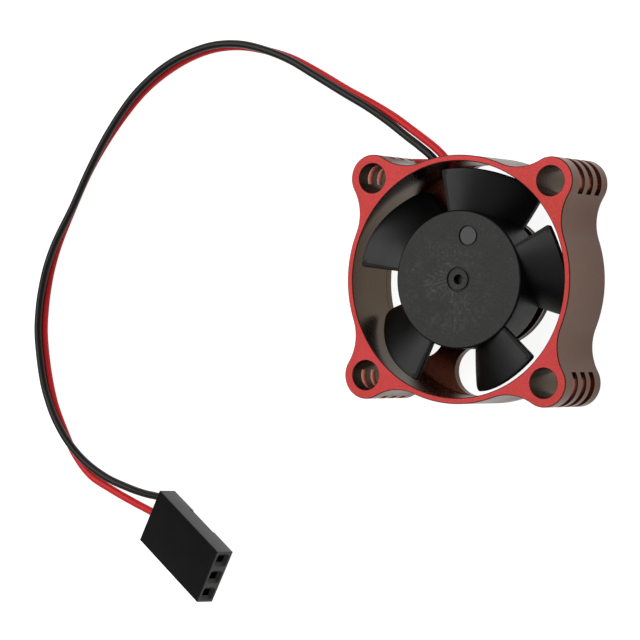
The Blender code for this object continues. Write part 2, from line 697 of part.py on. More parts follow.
def blade(k):
    """One curved blade, lofted from upright sections between its two edges.

    The front edge stands highest, and the blade falls ever faster towards its back
    edge. Both corners of the tip are rounded.
    """
    stations = 12
    tip = BORE_RADIUS - TIP_CLEARANCE
    root = HUB_RADIUS - HUB_WALL / 2
    front = FRAME_DEPTH - BLADE_FRONT_RECESS
    drop = front - BLADE_THICKNESS - RUN - WIRE_TOP
    start = BLADE_FRONT_ANGLE + 2 * math.pi * k / BLADE_COUNT
    sections = []
    for i in range(stations + 1):
        u = (1 - math.cos(math.pi * i / stations)) / 2
        from_edge = min(u, 1 - u) * BLADE_TIP_SPAN * tip
        corner = BLADE_FRONT_CORNER if u < 0.5 else BLADE_BACK_CORNER
        short = max(0.0, 1 - from_edge / corner)
        reach = tip - corner * (1 - math.sqrt(1 - short ** 2))
        top = front - drop * u ** BLADE_CAMBER
        at_root = start - BLADE_ROOT_SPAN * u
        at_tip = start - BLADE_TIP_SPAN * u
        sections.append([
            (root * math.cos(at_root), root * math.sin(at_root), top - BLADE_THICKNESS),
            (reach * math.cos(at_tip), reach * math.sin(at_tip), top - BLADE_THICKNESS),
            (reach * math.cos(at_tip), reach * math.sin(at_tip), top),
            (root * math.cos(at_root), root * math.sin(at_root), top)])

    work = bmesh.new()
    rows = [[work.verts.new(point) for point in section] for section in sections]
    for row, following in zip(rows, rows[1:]):
        for j in range(4):
            n = (j + 1) % 4
            work.faces.new((row[j], row[n], following[n], following[j]))
    work.faces.new(reversed(rows[0]))
    work.faces.new(rows[-1])
    bmesh.ops.recalc_face_normals(work, faces=work.faces)
    mesh = bpy.data.meshes.new(f"blade_{k + 1}")
    work.to_mesh(mesh)
    work.free()
    return add_object(mesh.name, mesh)


def impeller(rotor):
    """Hub cap with its skirt, joined to the five blades."""
    ring = CAP_RING_RADIUS
    half = CAP_RING_WIDTH / 2
    hub = turned("impeller", [
        (HUB_RADIUS - HUB_EDGE, CAP_FRONT),
        (HUB_RADIUS - 0.3 * HUB_EDGE, CAP_FRONT - 0.3 * HUB_EDGE),
        (HUB_RADIUS, CAP_FRONT - HUB_EDGE),
        (HUB_RADIUS, HUB_BOTTOM),
        (HUB_INNER, HUB_BOTTOM),
        (HUB_INNER, CAP_BACK),
        (CAP_HOLE_RADIUS, CAP_BACK),
        (CAP_HOLE_RADIUS, CAP_FRONT),
        (ring - half, CAP_FRONT),
        (ring - half, CAP_FRONT - CAP_RELIEF),
        (ring + half, CAP_FRONT - CAP_RELIEF),
        (ring + half, CAP_FRONT)], BLACK_PLASTIC, rotor, FINE)
    mark = turned("gate_mark", disc_section(
        CAP_MARK_RADIUS, CAP_FRONT - CAP_RELIEF, CAP_FRONT + CAP_RELIEF),
        steps=SMALL, ring=False)
    mark.location = (*CAP_MARK_PLACE, 0.0)
    cut(hub, [mark])
    join(hub, [blade(k) for k in range(BLADE_COUNT)])


def rotor_motor_parts(rotor):
    """Steel cup, ring magnet and the zinc boss that holds the cup on the shaft."""
    boss_outer = SHAFT_RADIUS + RACE_GAP + BOSS_WALL
    turned("rotor_yoke", [
        (YOKE_OUTER, YOKE_FRONT),
        (YOKE_OUTER, YOKE_BOTTOM),
        (YOKE_INNER, YOKE_BOTTOM),
        (YOKE_INNER, YOKE_BACK),
        (boss_outer + SEAT, YOKE_BACK),
        (boss_outer + SEAT, YOKE_FRONT)], SHEET_STEEL, rotor)
    turned("ring_magnet", ring_section(
        MAGNET_INNER, MAGNET_OUTER, YOKE_BOTTOM + RACE_GAP, MAGNET_FRONT),
        FERRITE, rotor)
    turned("shaft_boss", [
        (boss_outer, YOKE_FRONT),
        (boss_outer, BOSS_FRONT),
        (boss_outer + BOSS_WALL, BOSS_FRONT),
        (boss_outer + BOSS_WALL, BOSS_BACK),
        (SHAFT_RADIUS + RACE_GAP, BOSS_BACK),
        (SHAFT_RADIUS + RACE_GAP, YOKE_FRONT)], ZINC, rotor, SMALL)


# ---- Lead and plug ------------------------------------------------------------------------------


def plug_way(way):
    """Middle of a way across the plug: the black wire's, the red one's, the empty one."""
    return (way - (WAYS - 1) / 2) * PITCH


def plug(place):
    """Three-way plug housing, built along +Y from its wire end, and two contacts."""
    body = box("plug_housing", (WAYS * PITCH, PLUG_LENGTH, PLUG_THICKNESS),
               (0.0, PLUG_LENGTH / 2, 0.0), BLACK_PLASTIC, place, edge=PLUG_EDGE)
    cavity_end = PLUG_LENGTH - MOUTH_WALL
    cutters = []
    for way in range(WAYS):
        x = plug_way(way)
        cavity = box(f"cavity_{way + 1}", (CAVITY, 2 * cavity_end, CAVITY),
                     (x, 0.0, 0.0), parent=place)
        hole = box(f"contact_hole_{way + 1}", (CONTACT_HOLE, PLUG_LENGTH, CONTACT_HOLE),
                   (x, PLUG_LENGTH, 0.0), parent=place)
        mouth = box(f"mouth_{way + 1}", (MOUTH, 2 * MOUTH_DEPTH, MOUTH),
                    (x, PLUG_LENGTH, 0.0), parent=place)
        window = box(f"window_{way + 1}", (*WINDOW, PLUG_THICKNESS),
                     (x, WINDOW_PLACE, -PLUG_THICKNESS / 2), parent=place)
        cutters += [cavity, hole, mouth, window]
    third = PLUG_LENGTH / 3
    cutters.append(box("side_recess", (2 * SIDE_RECESS, third, 2 * PLUG_THICKNESS),
                       (-WAYS * PITCH / 2, PLUG_LENGTH / 2, 0.0), parent=place))
    cut(body, cutters)

    sleeve = CAVITY - 2 * SEAT
    start = WIRE_IN_PLUG + SEAT
    sleeve_end = cavity_end - SEAT
    barrel = TERMINAL_BORE + 2 * BARREL_WALL
    for way, name in ((0, "crimp_terminal_black"), (1, "crimp_terminal_red")):
        x = plug_way(way)
        sleeve_start = start + TERMINAL_BARREL
        contact = box(name, (sleeve, sleeve_end - sleeve_start, sleeve),
                      (x, (sleeve_start + sleeve_end) / 2, 0.0), TINNED, place)
        crimp = box(name + "_barrel", (barrel, TERMINAL_BARREL + SEAT, barrel),
                    (x, start + (TERMINAL_BARREL + SEAT) / 2, 0.0), parent=place)
        bore = box(name + "_bore", (TERMINAL_BORE, 2 * PLUG_LENGTH, TERMINAL_BORE),
                   (x, PLUG_LENGTH, 0.0), parent=place)
        join(contact, [crimp])
        cut(contact, [bore])


def smooth_path(points, spacing):
    """Points at an even spacing on a smooth curve through the given points."""
    marks = [0.0]
    for a, b in zip(points, points[1:]):
        marks.append(marks[-1] + (b - a).length)
    last = len(points) - 1
    slopes = []
    for i in range(last + 1):
        low = max(i - 1, 0)
        high = min(i + 1, last)
        slopes.append((points[high] - points[low]) / (marks[high] - marks[low]))
    count = round(marks[-1] / spacing)
    path = []
    i = 0
    for n in range(count + 1):
        along = marks[-1] * n / count
        while i < last - 1 and along > marks[i + 1]:
            i += 1
        gap = marks[i + 1] - marks[i]
        t = (along - marks[i]) / gap
        path.append(points[i] * (2 * t ** 3 - 3 * t ** 2 + 1)
                    + slopes[i] * gap * (t ** 3 - 2 * t ** 2 + t)
                    + points[i + 1] * (3 * t ** 2 - 2 * t ** 3)
                    + slopes[i + 1] * gap * (t ** 3 - t ** 2))
    return path


def wire(name, route, way, place, material):
    """One wire of the lead: a plain tube from its solder joint into the plug."""
    points = [Vector(point) * MM for point in route]
    for depth in (0.0, WIRE_IN_PLUG):
        points.append(place @ Vector((plug_way(way), depth, 0.0)))
    path = smooth_path(points, 2.5 * WIRE_DIAMETER)
    curve = bpy.data.curves.new(name, "CURVE")
    curve.dimensions = "3D"
    spline = curve.splines.new("POLY")
    spline.points.add(len(path) - 1)
    for point, place_of in zip(spline.points, path):
        point.co = (*place_of, 1.0)
    curve.bevel_depth = WIRE_DIAMETER / 2
    curve.bevel_resolution = 2
    curve.use_fill_caps = True
    add_object(name, curve, material)


def empty(name, location=(0.0, 0.0, 0.0), rotation=None):
    """Empty that pieces hang on; it isn't a piece itself."""
    obj = bpy.data.objects.new(name, None)
    obj.empty_display_size = 5 * MM
    obj.location = location
    if rotation:
        obj.rotation_mode = rotation.order
        obj.rotation_euler = rotation
    PARTS.objects.link(obj)
    return obj


# ---- Assembly ---------------------------------------------------------------------------------------


def main():
    """Build the frame, the motor, the rotor on its axis, and the lead with its plug."""
    rotor = empty("rotor_axis")
    frame()
    back_label()
    bearing_tube()
    bearing("lower_bearing", LOWER_BEARING, rotor)
    bearing("upper_bearing", UPPER_BEARING, rotor)
    shaft(rotor)
    stator()
    circuit_board()
    impeller(rotor)
    rotor_motor_parts(rotor)

    at_plug = empty("plug_place", PLUG_PLACE, PLUG_TURN)
    bpy.context.view_layer.update()
    plug(at_plug)
    wire("black_wire", BLACK_ROUTE, 0, at_plug.matrix_world, BLACK_SLEEVE)
    wire("red_wire", RED_ROUTE, 1, at_plug.matrix_world, RED_SLEEVE)
    for obj in PARTS.objects:
        if obj.type == "MESH":
            shade(obj)


main()
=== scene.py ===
"""Looks of a 30 mm cooling fan for an electronic speed controller, with its lead.

Everything is in metres, in the frame of the CAD model: the fan lies on its back,
its axis is Z, and the origin is the middle of its back face.
"""
import math

import bmesh
import bpy
import numpy as np
from mathutils import Euler, Matrix, Vector


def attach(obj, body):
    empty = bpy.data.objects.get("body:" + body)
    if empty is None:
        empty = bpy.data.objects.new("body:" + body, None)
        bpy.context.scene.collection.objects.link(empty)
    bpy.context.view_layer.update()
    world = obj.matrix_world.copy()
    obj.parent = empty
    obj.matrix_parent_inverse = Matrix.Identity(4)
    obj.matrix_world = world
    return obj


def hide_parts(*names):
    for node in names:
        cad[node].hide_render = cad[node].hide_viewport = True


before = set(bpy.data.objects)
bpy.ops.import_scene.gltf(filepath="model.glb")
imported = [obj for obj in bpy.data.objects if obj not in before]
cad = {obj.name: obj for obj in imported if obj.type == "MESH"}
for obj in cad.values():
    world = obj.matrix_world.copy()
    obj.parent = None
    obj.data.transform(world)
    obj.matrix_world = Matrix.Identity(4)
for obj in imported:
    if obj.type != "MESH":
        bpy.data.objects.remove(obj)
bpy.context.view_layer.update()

# ---- Camera -----------------------------------------------------------------
# A long lens looks down on the table from the right, 29 degrees off the fan's
# axis, and takes in the fan, its lead and the plug.

MM = 0.001
scene = bpy.context.scene
camera_data = bpy.data.cameras.new("camera")
camera_data.sensor_width = 36.0
camera_data.lens = 190.07
camera_data.clip_start = 0.01
camera = bpy.data.objects.new("camera", camera_data)
camera.location = (184.95 * MM, -3.03 * MM, 371.73 * MM)
camera.rotation_mode = "ZYX"
camera.rotation_euler = Euler(
    (math.radians(-0.39), math.radians(29.37), math.radians(2.12)), "ZYX")
scene.collection.objects.link(camera)
scene.camera = camera
scene.view_settings.view_transform = "Standard"

# ---- Lead -------------------------------------------------------------------
# Two stranded wires in soft vinyl sleeves, red and black, 1.0 mm across. They are
# soldered to the motor's board, leave over the frame's shelf and lie on the table.

WIRE_DIAMETER = 1.0 * MM
WIRE_STEP = 0.4 * MM
WIRE_IN_PLUG = 2.0 * MM
PITCH = 2.54 * MM
# Each route's points are in millimetres and run from the motor's board to the plug.
BLACK_ROUTE = [
    (-3.3, 6.2, 1.8), (-4.1, 8.0, 1.8), (-4.9, 9.9, 1.8), (-5.6, 11.6, 1.8),
    (-6.6, 13.3, 1.8), (-8.05, 14.95, 1.78), (-10.17, 16.44, 1.52), (-11.72, 17.38, 1.3),
    (-14.68, 19.38, 1.26), (-17.63, 21.19, 1.38), (-20.92, 22.89, 1.45), (-25.82, 25.49, 1.49),
    (-29.12, 27.19, 1.54), (-32.72, 28.46, 1.55), (-36.5, 29.23, 1.52), (-40.39, 29.13, 1.5),
    (-44.08, 28.13, 1.5), (-47.48, 26.54, 1.47), (-50.57, 24.25, 1.52), (-53.05, 21.76, 1.54),
    (-56.25, 17.36, 1.53), (-58.87, 12.77, 1.5), (-61.17, 8.07, 1.5), (-63.67, 3.38, 1.55),
    (-64.81, 0.17, 1.7), (-65.54, -2.53, 1.55), (-65.93, -5.01, 1.5), (-66.03, -8.28, 1.5),
    (-65.59, -11.65, 1.51), (-64.9, -14.94, 1.5), (-64.12, -17.13, 1.54), (-62.74, -19.75, 1.7),
    (-60.75, -22.64, 1.55), (-58.19, -25.15, 1.25), (-54.9, -27.05, 1.15), (-51.21, -28.24, 1.3),
    (-48.54, -28.79, 1.7)]
RED_ROUTE = [
    (-2.2, 6.6, 1.8), (-3.0, 8.4, 1.8), (-3.8, 10.3, 1.8), (-4.5, 12.0, 1.8),
    (-5.25, 13.5, 1.8), (-6.5, 15.1, 1.75), (-8.01, 16.31, 1.55), (-9.67, 17.34, 1.2),
    (-11.46, 18.38, 0.8), (-14.48, 20.2, 0.55), (-17.7, 21.86, 0.51), (-21.1, 23.46, 0.51),
    (-25.99, 25.96, 0.51), (-29.47, 27.5, 0.51), (-33.27, 28.5, 0.51), (-37.07, 29.02, 0.51),
    (-40.78, 28.74, 0.51), (-44.19, 27.74, 0.51), (-47.6, 26.03, 0.51), (-50.61, 23.93, 0.51),
    (-53.21, 21.42, 0.51), (-56.51, 17.32, 0.51), (-59.42, 12.82, 0.51), (-61.72, 8.12, 0.51),
    (-63.82, 3.31, 0.51), (-64.82, 0.11, 0.51), (-65.32, -2.39, 0.51), (-65.62, -5.0, 0.51),
    (-65.72, -8.2, 0.51), (-65.32, -11.51, 0.51), (-64.62, -14.81, 0.51), (-63.62, -18.01, 0.51),
    (-62.12, -21.12, 0.51), (-60.33, -24.18, 0.51), (-57.64, -26.97, 0.55), (-53.94, -28.76, 0.7),
    (-50.37, -30.1, 1.15)]
# The plug's own origin is in the middle of the end that the wires enter. Its Y axis
# runs along the plug to the mouths, and its X axis runs across the three ways.
PLUG_PLACE = (-46.27 * MM, -31.49 * MM, 1.93 * MM)
PLUG_TURN = (math.radians(17.9), math.radians(9.3), math.radians(-120.9))
PLUG_FRAME = Matrix.Translation(PLUG_PLACE) @ Euler(PLUG_TURN, "YXZ").to_matrix().to_4x4()


def add_node(tree, kind, inputs=None, **settings):
    """A shader node: settings are its properties, and an input is a value or a link."""
    made = tree.nodes.new("ShaderNode" + kind)
    for name, value in settings.items():
        setattr(made, name, value)
    for name, value in (inputs or {}).items():
        if isinstance(value, bpy.types.NodeSocket):
            tree.links.new(value, made.inputs[name])
        else:
            made.inputs[name].default_value = value
    return made


def worked(tree, operation, *values):
    """Result of a Math node on the values, each one a number or a link."""
    return add_node(tree, "Math", dict(enumerate(values)), operation=operation).outputs[0]


def object_point(tree, stretch=(1.0, 1.0, 1.0)):
    """The point on the piece in metres, with each axis multiplied by its stretch."""
    point = add_node(tree, "TexCoord").outputs["Object"]
    return add_node(tree, "Mapping", {"Vector": point, "Scale": stretch}).outputs[0]


def between(tree, value, low, high, contrast=(0.0, 1.0)):
    """The value, spread from the contrast's two ends to low and high."""
    return add_node(tree, "MapRange", {
        "Value": value, "From Min": contrast[0], "From Max": contrast[1],
        "To Min": low, "To Max": high}).outputs[0]


def noise(tree, point, size, detail=2.0, contrast=(0.3, 0.7)):
    """Cloudy pattern from 0 to 1 whose patches are about size metres across."""
    cloud = add_node(tree, "TexNoise", {
        "Vector": point, "Scale": 1.0 / size, "Detail": detail}).outputs["Fac"]
    return between(tree, cloud, 0.0, 1.0, contrast)


def blended(tree, share, first, second):
    """Colour between first and second, each one RGB or a link."""
    first, second = ((*c, 1.0) if isinstance(c, tuple) else c for c in (first, second))
    return add_node(tree, "Mix", {0: share, 6: first, 7: second},
                    data_type="RGBA").outputs[2]


def finish(name, colour, darker, roughness, metallic=0.0, specular=0.5, grain=0.15 * MM,
           patch=2.0 * MM, relief=2e-6, stretch=(1.0, 1.0, 1.0), pattern=None, **more):
    """Material with fine grain, broad patches and relief, all on Object coordinates.

    The colour runs from darker to colour with the grain and the patches together,
    the roughness is a pair of numbers that follows the patches, and the grain's
    height is the relief, in metres. pattern(tree) may give a height of its own.
    """
    material = bpy.data.materials.new(name)
    material.use_nodes = True
    tree = material.node_tree
    shader = tree.nodes["Principled BSDF"]
    point = object_point(tree, stretch)
    fine = noise(tree, point, grain)
    broad = noise(tree, object_point(tree), patch, 3.0)
    mixed = worked(tree, "ADD", fine, broad)
    height = worked(tree, "ADD", fine, pattern(tree)) if pattern else fine
    bump = add_node(tree, "Bump", {"Height": height, "Distance": relief})
    links = {
        "Base Color": blended(tree, between(tree, mixed, 0.0, 1.0, (0.4, 1.6)),
                              darker, colour),
        "Roughness": between(tree, broad, *roughness),
        "Normal": bump.outputs["Normal"]}
    for socket, value in links.items():
        tree.links.new(value, shader.inputs[socket])
    constants = {"Metallic": metallic, "Specular IOR Level": specular, **more}
    for socket, value in constants.items():
        shader.inputs[socket].default_value = value
    return material


def smooth_line(points, spacing):
    """Points at an even spacing on cubic Hermite curves through the given points.

    The slope at a point is the chord between its two neighbours divided by the
    distance along the points between them.
    """
    points = np.array(points, float)
    marks = np.concatenate([[0.0], np.cumsum(np.linalg.norm(np.diff(points, axis=0),
                                                            axis=1))])
    low = np.maximum(np.arange(len(points)) - 1, 0)
    high = np.minimum(np.arange(len(points)) + 1, len(points) - 1)
    slopes = (points[high] - points[low]) / (marks[high] - marks[low])[:, None]
    along = np.linspace(0.0, marks[-1], round(marks[-1] / spacing) + 1)
    i = np.clip(np.searchsorted(marks, along, "right") - 1, 0, len(points) - 2)
    gap = (marks[i + 1] - marks[i])[:, None]
    t = (along - marks[i])[:, None] / gap
    return (points[i] * (2 * t ** 3 - 3 * t ** 2 + 1)
            + slopes[i] * gap * (t ** 3 - 2 * t ** 2 + t)
            + points[i + 1] * (3 * t ** 2 - 2 * t ** 3)
            + slopes[i + 1] * gap * (t ** 3 - t ** 2))


def wire(name, route, way_x, material, node):
    """A round wire along the route and on into the way at way_x of the plug."""
    points = [np.array(point) * MM for point in route]
    for depth in (0.0, WIRE_IN_PLUG):
        points.append(np.array(PLUG_FRAME @ Matrix.Translation((way_x, depth, 0.0))
                               .to_translation()))
    line = smooth_line(points, WIRE_STEP)
    curve = bpy.data.curves.new(name, "CURVE")
    curve.dimensions = "3D"
    spline = curve.splines.new("POLY")
    spline.points.add(len(line) - 1)
    spline.points.foreach_set(
        "co", np.column_stack([line, np.ones(len(line))]).ravel())
    spline.use_smooth = True
    curve.bevel_depth = WIRE_DIAMETER / 2
    curve.bevel_resolution = 5
    curve.use_fill_caps = True
    curve.materials.append(material)
    made = bpy.data.objects.new(name, curve)
    scene.collection.objects.link(made)
    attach(made, "stator")
    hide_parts(node)
    return made


red_vinyl = finish("red_vinyl", (0.80, 0.017, 0.021), (0.72, 0.013, 0.017),
                   (0.46, 0.56), specular=0.15, grain=0.3 * MM, patch=4 * MM, relief=4e-6,
                   **{"Coat Weight": 0.3, "Coat Roughness": 0.3})
black_vinyl = finish("black_vinyl", (0.012, 0.010, 0.008), (0.009, 0.0075, 0.006),
                     (0.26, 0.32), specular=0.26, grain=0.3 * MM, patch=4 * MM,
                     relief=2e-6)
black_wire = wire("lead_wire_black", BLACK_ROUTE, -PITCH, black_vinyl, "black_wire")
red_wire = wire("lead_wire_red", RED_ROUTE, 0.0, red_vinyl, "red_wire")

# ---- Plug housing -----------------------------------------------------------
# Three-way socket housing on the end of the lead, moulded in black nylon, with its
# broad faces smoother than its sides. The third way is empty, and the latch windows
# are on the face that lies down.

PLUG_SIZE = (3 * PITCH, 14.2 * MM, 2.5 * MM)
PLUG_CORNER = 0.06 * MM
CAVITY_END = PLUG_SIZE[1] - 1.2 * MM
# Each way's cuts: width, start and end along the plug, and how far each side has moved
# outwards at the end.
WAY_CUTS = {"cavity": (1.9 * MM, -1.0 * MM, CAVITY_END, 0.0),
            "contact_hole": (1.0 * MM, 11.0 * MM, 13.9 * MM, 0.0),
            "mouth": (1.02 * MM, 13.8 * MM, 14.4 * MM, 0.68 * MM)}
WAY_CORNER = 0.06 * MM
MOUTH_REACH = 1.05 * MM
WINDOW_SIZE = (1.2 * MM, 3.5 * MM)
WINDOW_ALONG = 6.6 * MM
WINDOW_CORNER = 0.1 * MM
# The shallow recess low on one side: its depth, the length of the ramp at each end, the
# heights of the tool that cuts it, and how far the tool runs past the side.
RECESS_DEPTH = 0.15 * MM
RECESS_RAMP = 0.9 * MM
RECESS_HEIGHTS = (-3.0 * MM, -0.75 * MM)
PAST_SIDE = 0.3 * MM
ALONG_PLUG = Matrix.Rotation(-math.pi / 2, 4, "X")


def arc(centre, radius, start, end, steps):
    """Points along an arc from one angle to another, both ends included."""
    a = np.linspace(start, end, steps + 1)
    return np.stack([centre[0] + radius * np.cos(a), centre[1] + radius * np.sin(a)], 1)


def rounded_box(centre, size, corner, steps=5):
    """Outline of a rectangle with a quarter circle at each corner."""
    x, y = size[0] / 2 - corner, size[1] / 2 - corner
    return np.concatenate([
        arc((centre[0] + sx * x, centre[1] + sy * y), corner, start, start + math.pi / 2,
            steps)
        for sx, sy, start in ((1, 1, 0.0), (-1, 1, math.pi / 2), (-1, -1, math.pi),
                              (1, -1, 1.5 * math.pi))])


def upright(outline, profile):
    """Grid over a flat outline: point (j, i) is outline point i, moved outwards by the
    first number of profile pair j along the mitred normal, at that pair's height."""
    profile = np.array(profile, float)
    edge = np.roll(outline, -1, 0) - outline
    normal = np.stack([edge[:, 1], -edge[:, 0]], 1)
    normal /= np.linalg.norm(normal, axis=1)[:, None]
    before = np.roll(normal, 1, 0)
    mitre = (normal + before) / (1 + np.sum(normal * before, 1))[:, None]
    flat = outline[None] + profile[:, 0, None, None] * mitre[None]
    height = np.broadcast_to(profile[:, 1, None, None], (*flat.shape[:2], 1))
    return np.concatenate([flat, height], 2)


def turned(profile, steps=180):
    """Grid round the Z axis: point (j, i) has the radius and height of profile pair j,
    at i parts in steps of a full turn."""
    radius, height = np.array(profile, float).T
    a = np.arange(steps) * 2 * math.pi / steps
    return np.stack([radius[:, None] * np.cos(a), radius[:, None] * np.sin(a),
                     np.broadcast_to(height[:, None], (len(radius), steps))], 2)


def skin(name, grid, place=None, ring=False):
    """Closed mesh over a grid that wraps from its last column to its first.

    A ring wraps from its last row to its first too; otherwise one flat face closes
    each end. Rows go up the outside, and columns go anticlockwise seen from above.
    """
    rows, columns = grid.shape[:2]
    index = np.arange(rows * columns).reshape(rows, columns)
    upper = np.roll(index, -1, 0) if ring else index[1:]
    lower = index if ring else index[:-1]
    faces = np.stack([lower, np.roll(lower, -1, 1), np.roll(upper, -1, 1), upper],
                     2).reshape(-1, 4).tolist()
    if not ring:
        faces += [index[0, ::-1].tolist(), index[-1].tolist()]
    mesh = bpy.data.meshes.new(name)
    mesh.from_pydata(grid.reshape(-1, 3).tolist(), [], faces)
    if place:
        mesh.transform(place)
    made = bpy.data.objects.new(name, mesh)
    scene.collection.objects.link(made)
    return made


def combined(target, others, operation):
    """Joins the others to the target, or cuts them from it, in one exact Boolean."""
    group = bpy.data.collections.new(target.name + "_tools")
    scene.collection.children.link(group)
    for other in others:
        group.objects.link(other)
    step = target.modifiers.new("combine", "BOOLEAN")
    step.operation = operation
    step.solver = "EXACT"
    step.operand_type = "COLLECTION"
    step.collection = group
    graph = bpy.context.evaluated_depsgraph_get()
    mesh = bpy.data.meshes.new_from_object(target.evaluated_get(graph))
    target.modifiers.clear()
    target.data = mesh
    for other in others:
        bpy.data.objects.remove(other)
    bpy.data.collections.remove(group)


def soften(made, angle=30.0):
    """Smooth shading that keeps every edge sharper than the angle, in degrees."""
    made.data.shade_smooth()
    made.data.set_sharp_from_angle(angle=math.radians(angle))


def face_rows(made):
    """Normals and middles of the piece's faces, as two arrays with a row for each."""
    normals, middles = np.zeros((2, 3 * len(made.data.polygons)))
    made.data.polygons.foreach_get("normal", normals)
    made.data.polygons.foreach_get("center", middles)
    return normals.reshape(-1, 3), middles.reshape(-1, 3)


def finish_faces(made, usual, *rows):
    """Gives each face the finish of the first row whose mask holds, or the usual one."""
    made.data.materials.clear()
    for material in (usual, *(material for material, _ in rows)):
        made.data.materials.append(material)
    numbers = np.select([mask for _, mask in rows], list(range(1, len(rows) + 1)), 0)
    made.data.polygons.foreach_set("material_index", numbers.astype(np.int32))


nylon = finish("black_nylon", (0.0055, 0.0054, 0.0052), (0.0035, 0.0035, 0.0035),
               (0.28, 0.36), grain=0.08 * MM, patch=3 * MM, relief=3e-6)
plug_top = finish("smooth_black_nylon", (0.0035, 0.0034, 0.0034), (0.0025, 0.0025, 0.0025),
                  (0.18, 0.24), specular=0.18, grain=0.1 * MM, patch=3 * MM, relief=1e-6)
# The mouths' flares are the housing's own black nylon; their paler grey is painted light on them.
mouth_light_nylon = finish("mouth_painted_light", (0.030, 0.028, 0.025), (0.022, 0.020, 0.018),
                     (0.40, 0.50), specular=0.4, grain=0.1 * MM, relief=1e-6)
width, length, thickness = PLUG_SIZE
inset = 0.3 * PLUG_CORNER
plug = skin("plug_housing_body", upright(
    rounded_box((0.0, 0.0), (width, thickness), 1.6 * PLUG_CORNER),
    [(-PLUG_CORNER, 0.0), (-inset, inset), (0.0, PLUG_CORNER),
     (0.0, length - PLUG_CORNER), (-inset, length - inset), (-PLUG_CORNER, length)]),
    ALONG_PLUG)
tools = []
for way_x in (-PITCH, 0.0, PITCH):
    for label, (across, start, end, flare) in WAY_CUTS.items():
        tools.append(skin(label, upright(
            rounded_box((way_x, 0.0), (across, across), WAY_CORNER, 3),
            [(0.0, start), (flare, end)]), ALONG_PLUG))
    tools.append(skin("window", upright(
        rounded_box((way_x, WINDOW_ALONG), WINDOW_SIZE, WINDOW_CORNER, 3),
        [(0.0, -thickness), (0.0, 0.0)])))
side, low, high = -width / 2, length / 3, length * 2 / 3
tools.append(skin("side_recess", upright(np.array([
    (side - PAST_SIDE, low - RECESS_RAMP), (side + RECESS_DEPTH, low),
    (side + RECESS_DEPTH, high), (side - PAST_SIDE, high + RECESS_RAMP)]),
    [(0.0, height) for height in RECESS_HEIGHTS])))
combined(plug, tools, "DIFFERENCE")
normals, middles = face_rows(plug)
# A mouth's flares lean: they face neither straight out of the plug nor straight across.
leaning = (normals[:, 1] > 0.2) & (normals[:, 1] < 0.9)
in_mouth = (leaning & (middles[:, 1] > CAVITY_END)
            & (np.abs(middles[:, 2]) < MOUTH_REACH))
finish_faces(plug, nylon, (mouth_light_nylon, in_mouth),
             (plug_top, np.abs(normals[:, 2]) > 0.95))
plug.data.transform(PLUG_FRAME)
soften(plug, 22.0)
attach(plug, "stator")
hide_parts("plug_housing")

# ---- Crimp contacts ---------------------------------------------------------
# Tin-plated strip, stamped and folded into a square sleeve, with a barrel that is
# crimped on the wire's strands. They click into the red and the black way.

tin = finish("tin_plate", (0.62, 0.60, 0.55), (0.50, 0.48, 0.44), (0.26, 0.40),
             metallic=1.0, grain=0.2 * MM, patch=1.0 * MM, relief=2e-6)
for lead, route, contact in (
        (red_wire, RED_ROUTE, cad["crimp_terminal_red"]),
        (black_wire, BLACK_ROUTE, cad["crimp_terminal_black"])):
    contact.data.materials.clear()
    contact.data.materials.append(tin)

# ---- Frame ------------------------------------------------------------------
# Square-shouldered ring milled from one aluminium block, with its back plate and
# three arms left in it and three slots across each corner. It is anodised red: the
# flat faces are bright, the bore, the holes and the outer walls dark and brownish.
# The plate's top, the slot floors and the broken edges are darkened with painted
# shade, and the base's wall is painted black as shade under a painted highlight.

FRAME_RADIUS = 15.0 * MM
FRAME_DEPTH = 10.0 * MM
BORE_RADIUS = 14.25 * MM
HOLE_OFFSET = 12.0 * MM
HOLE_REACH = HOLE_OFFSET * math.sqrt(2)
HOLE_RADIUS = 1.8 * MM
LOBE_RADIUS = 2.9 * MM
WAIST_FILLET = 6.0 * MM
EDGE = 0.11 * MM
HOLE_EDGE = 0.08 * MM
# The back plate, with its base, arms, shelf, rims and the notch for the wires.
PLATE = 1.2 * MM
BASE_RADIUS = 8.15 * MM
ARM_HALF_WIDTH = 1.42 * MM
RIM = 0.22 * MM
BACK_EDGE = 0.06 * MM
SHELF_MIDDLE = (-6.5 * MM, 13.425 * MM)
SHELF_SIZE = (11.0 * MM, 2.85 * MM)
LABEL_RADIUS = 6.95 * MM
LABEL_DEPTH = 0.3 * MM
TUBE_HOLE_RADIUS = 2.6 * MM
NOTCH_SIZE = (4.5 * MM, 3.0 * MM)
NOTCH_CORNER = 0.3 * MM
NOTCH_HEIGHT = 1.5 * MM
NOTCH_REACH = 14.625 * MM
NOTCH_ANGLE = math.radians(113.8)
NOTCH_TURN = math.radians(126.0)
# The slots across each corner: bottoms and tops in millimetres, and the plan, whose
# middle is measured outwards from the screw hole.
FIN_SLOTS = ((1.8, 3.07), (4.17, 5.43), (6.53, 7.8))
FIN_SLOT_MIDDLE = (3.68 * MM, 0.0)
FIN_SLOT_SIZE = (5.8 * MM, 11.6 * MM)
MILLED_CORNER = 0.05 * MM
# How far a tool runs on past the face that it cuts, and how near a face's middle has
# to be to a surface to count as part of it.
OVERRUN = 0.5 * MM
NEAR = 0.05 * MM


def about(points, angle):
    """Plane points turned anticlockwise about the origin."""
    c, s = math.cos(angle), math.sin(angle)
    return points @ np.array([[c, s], [-s, c]])


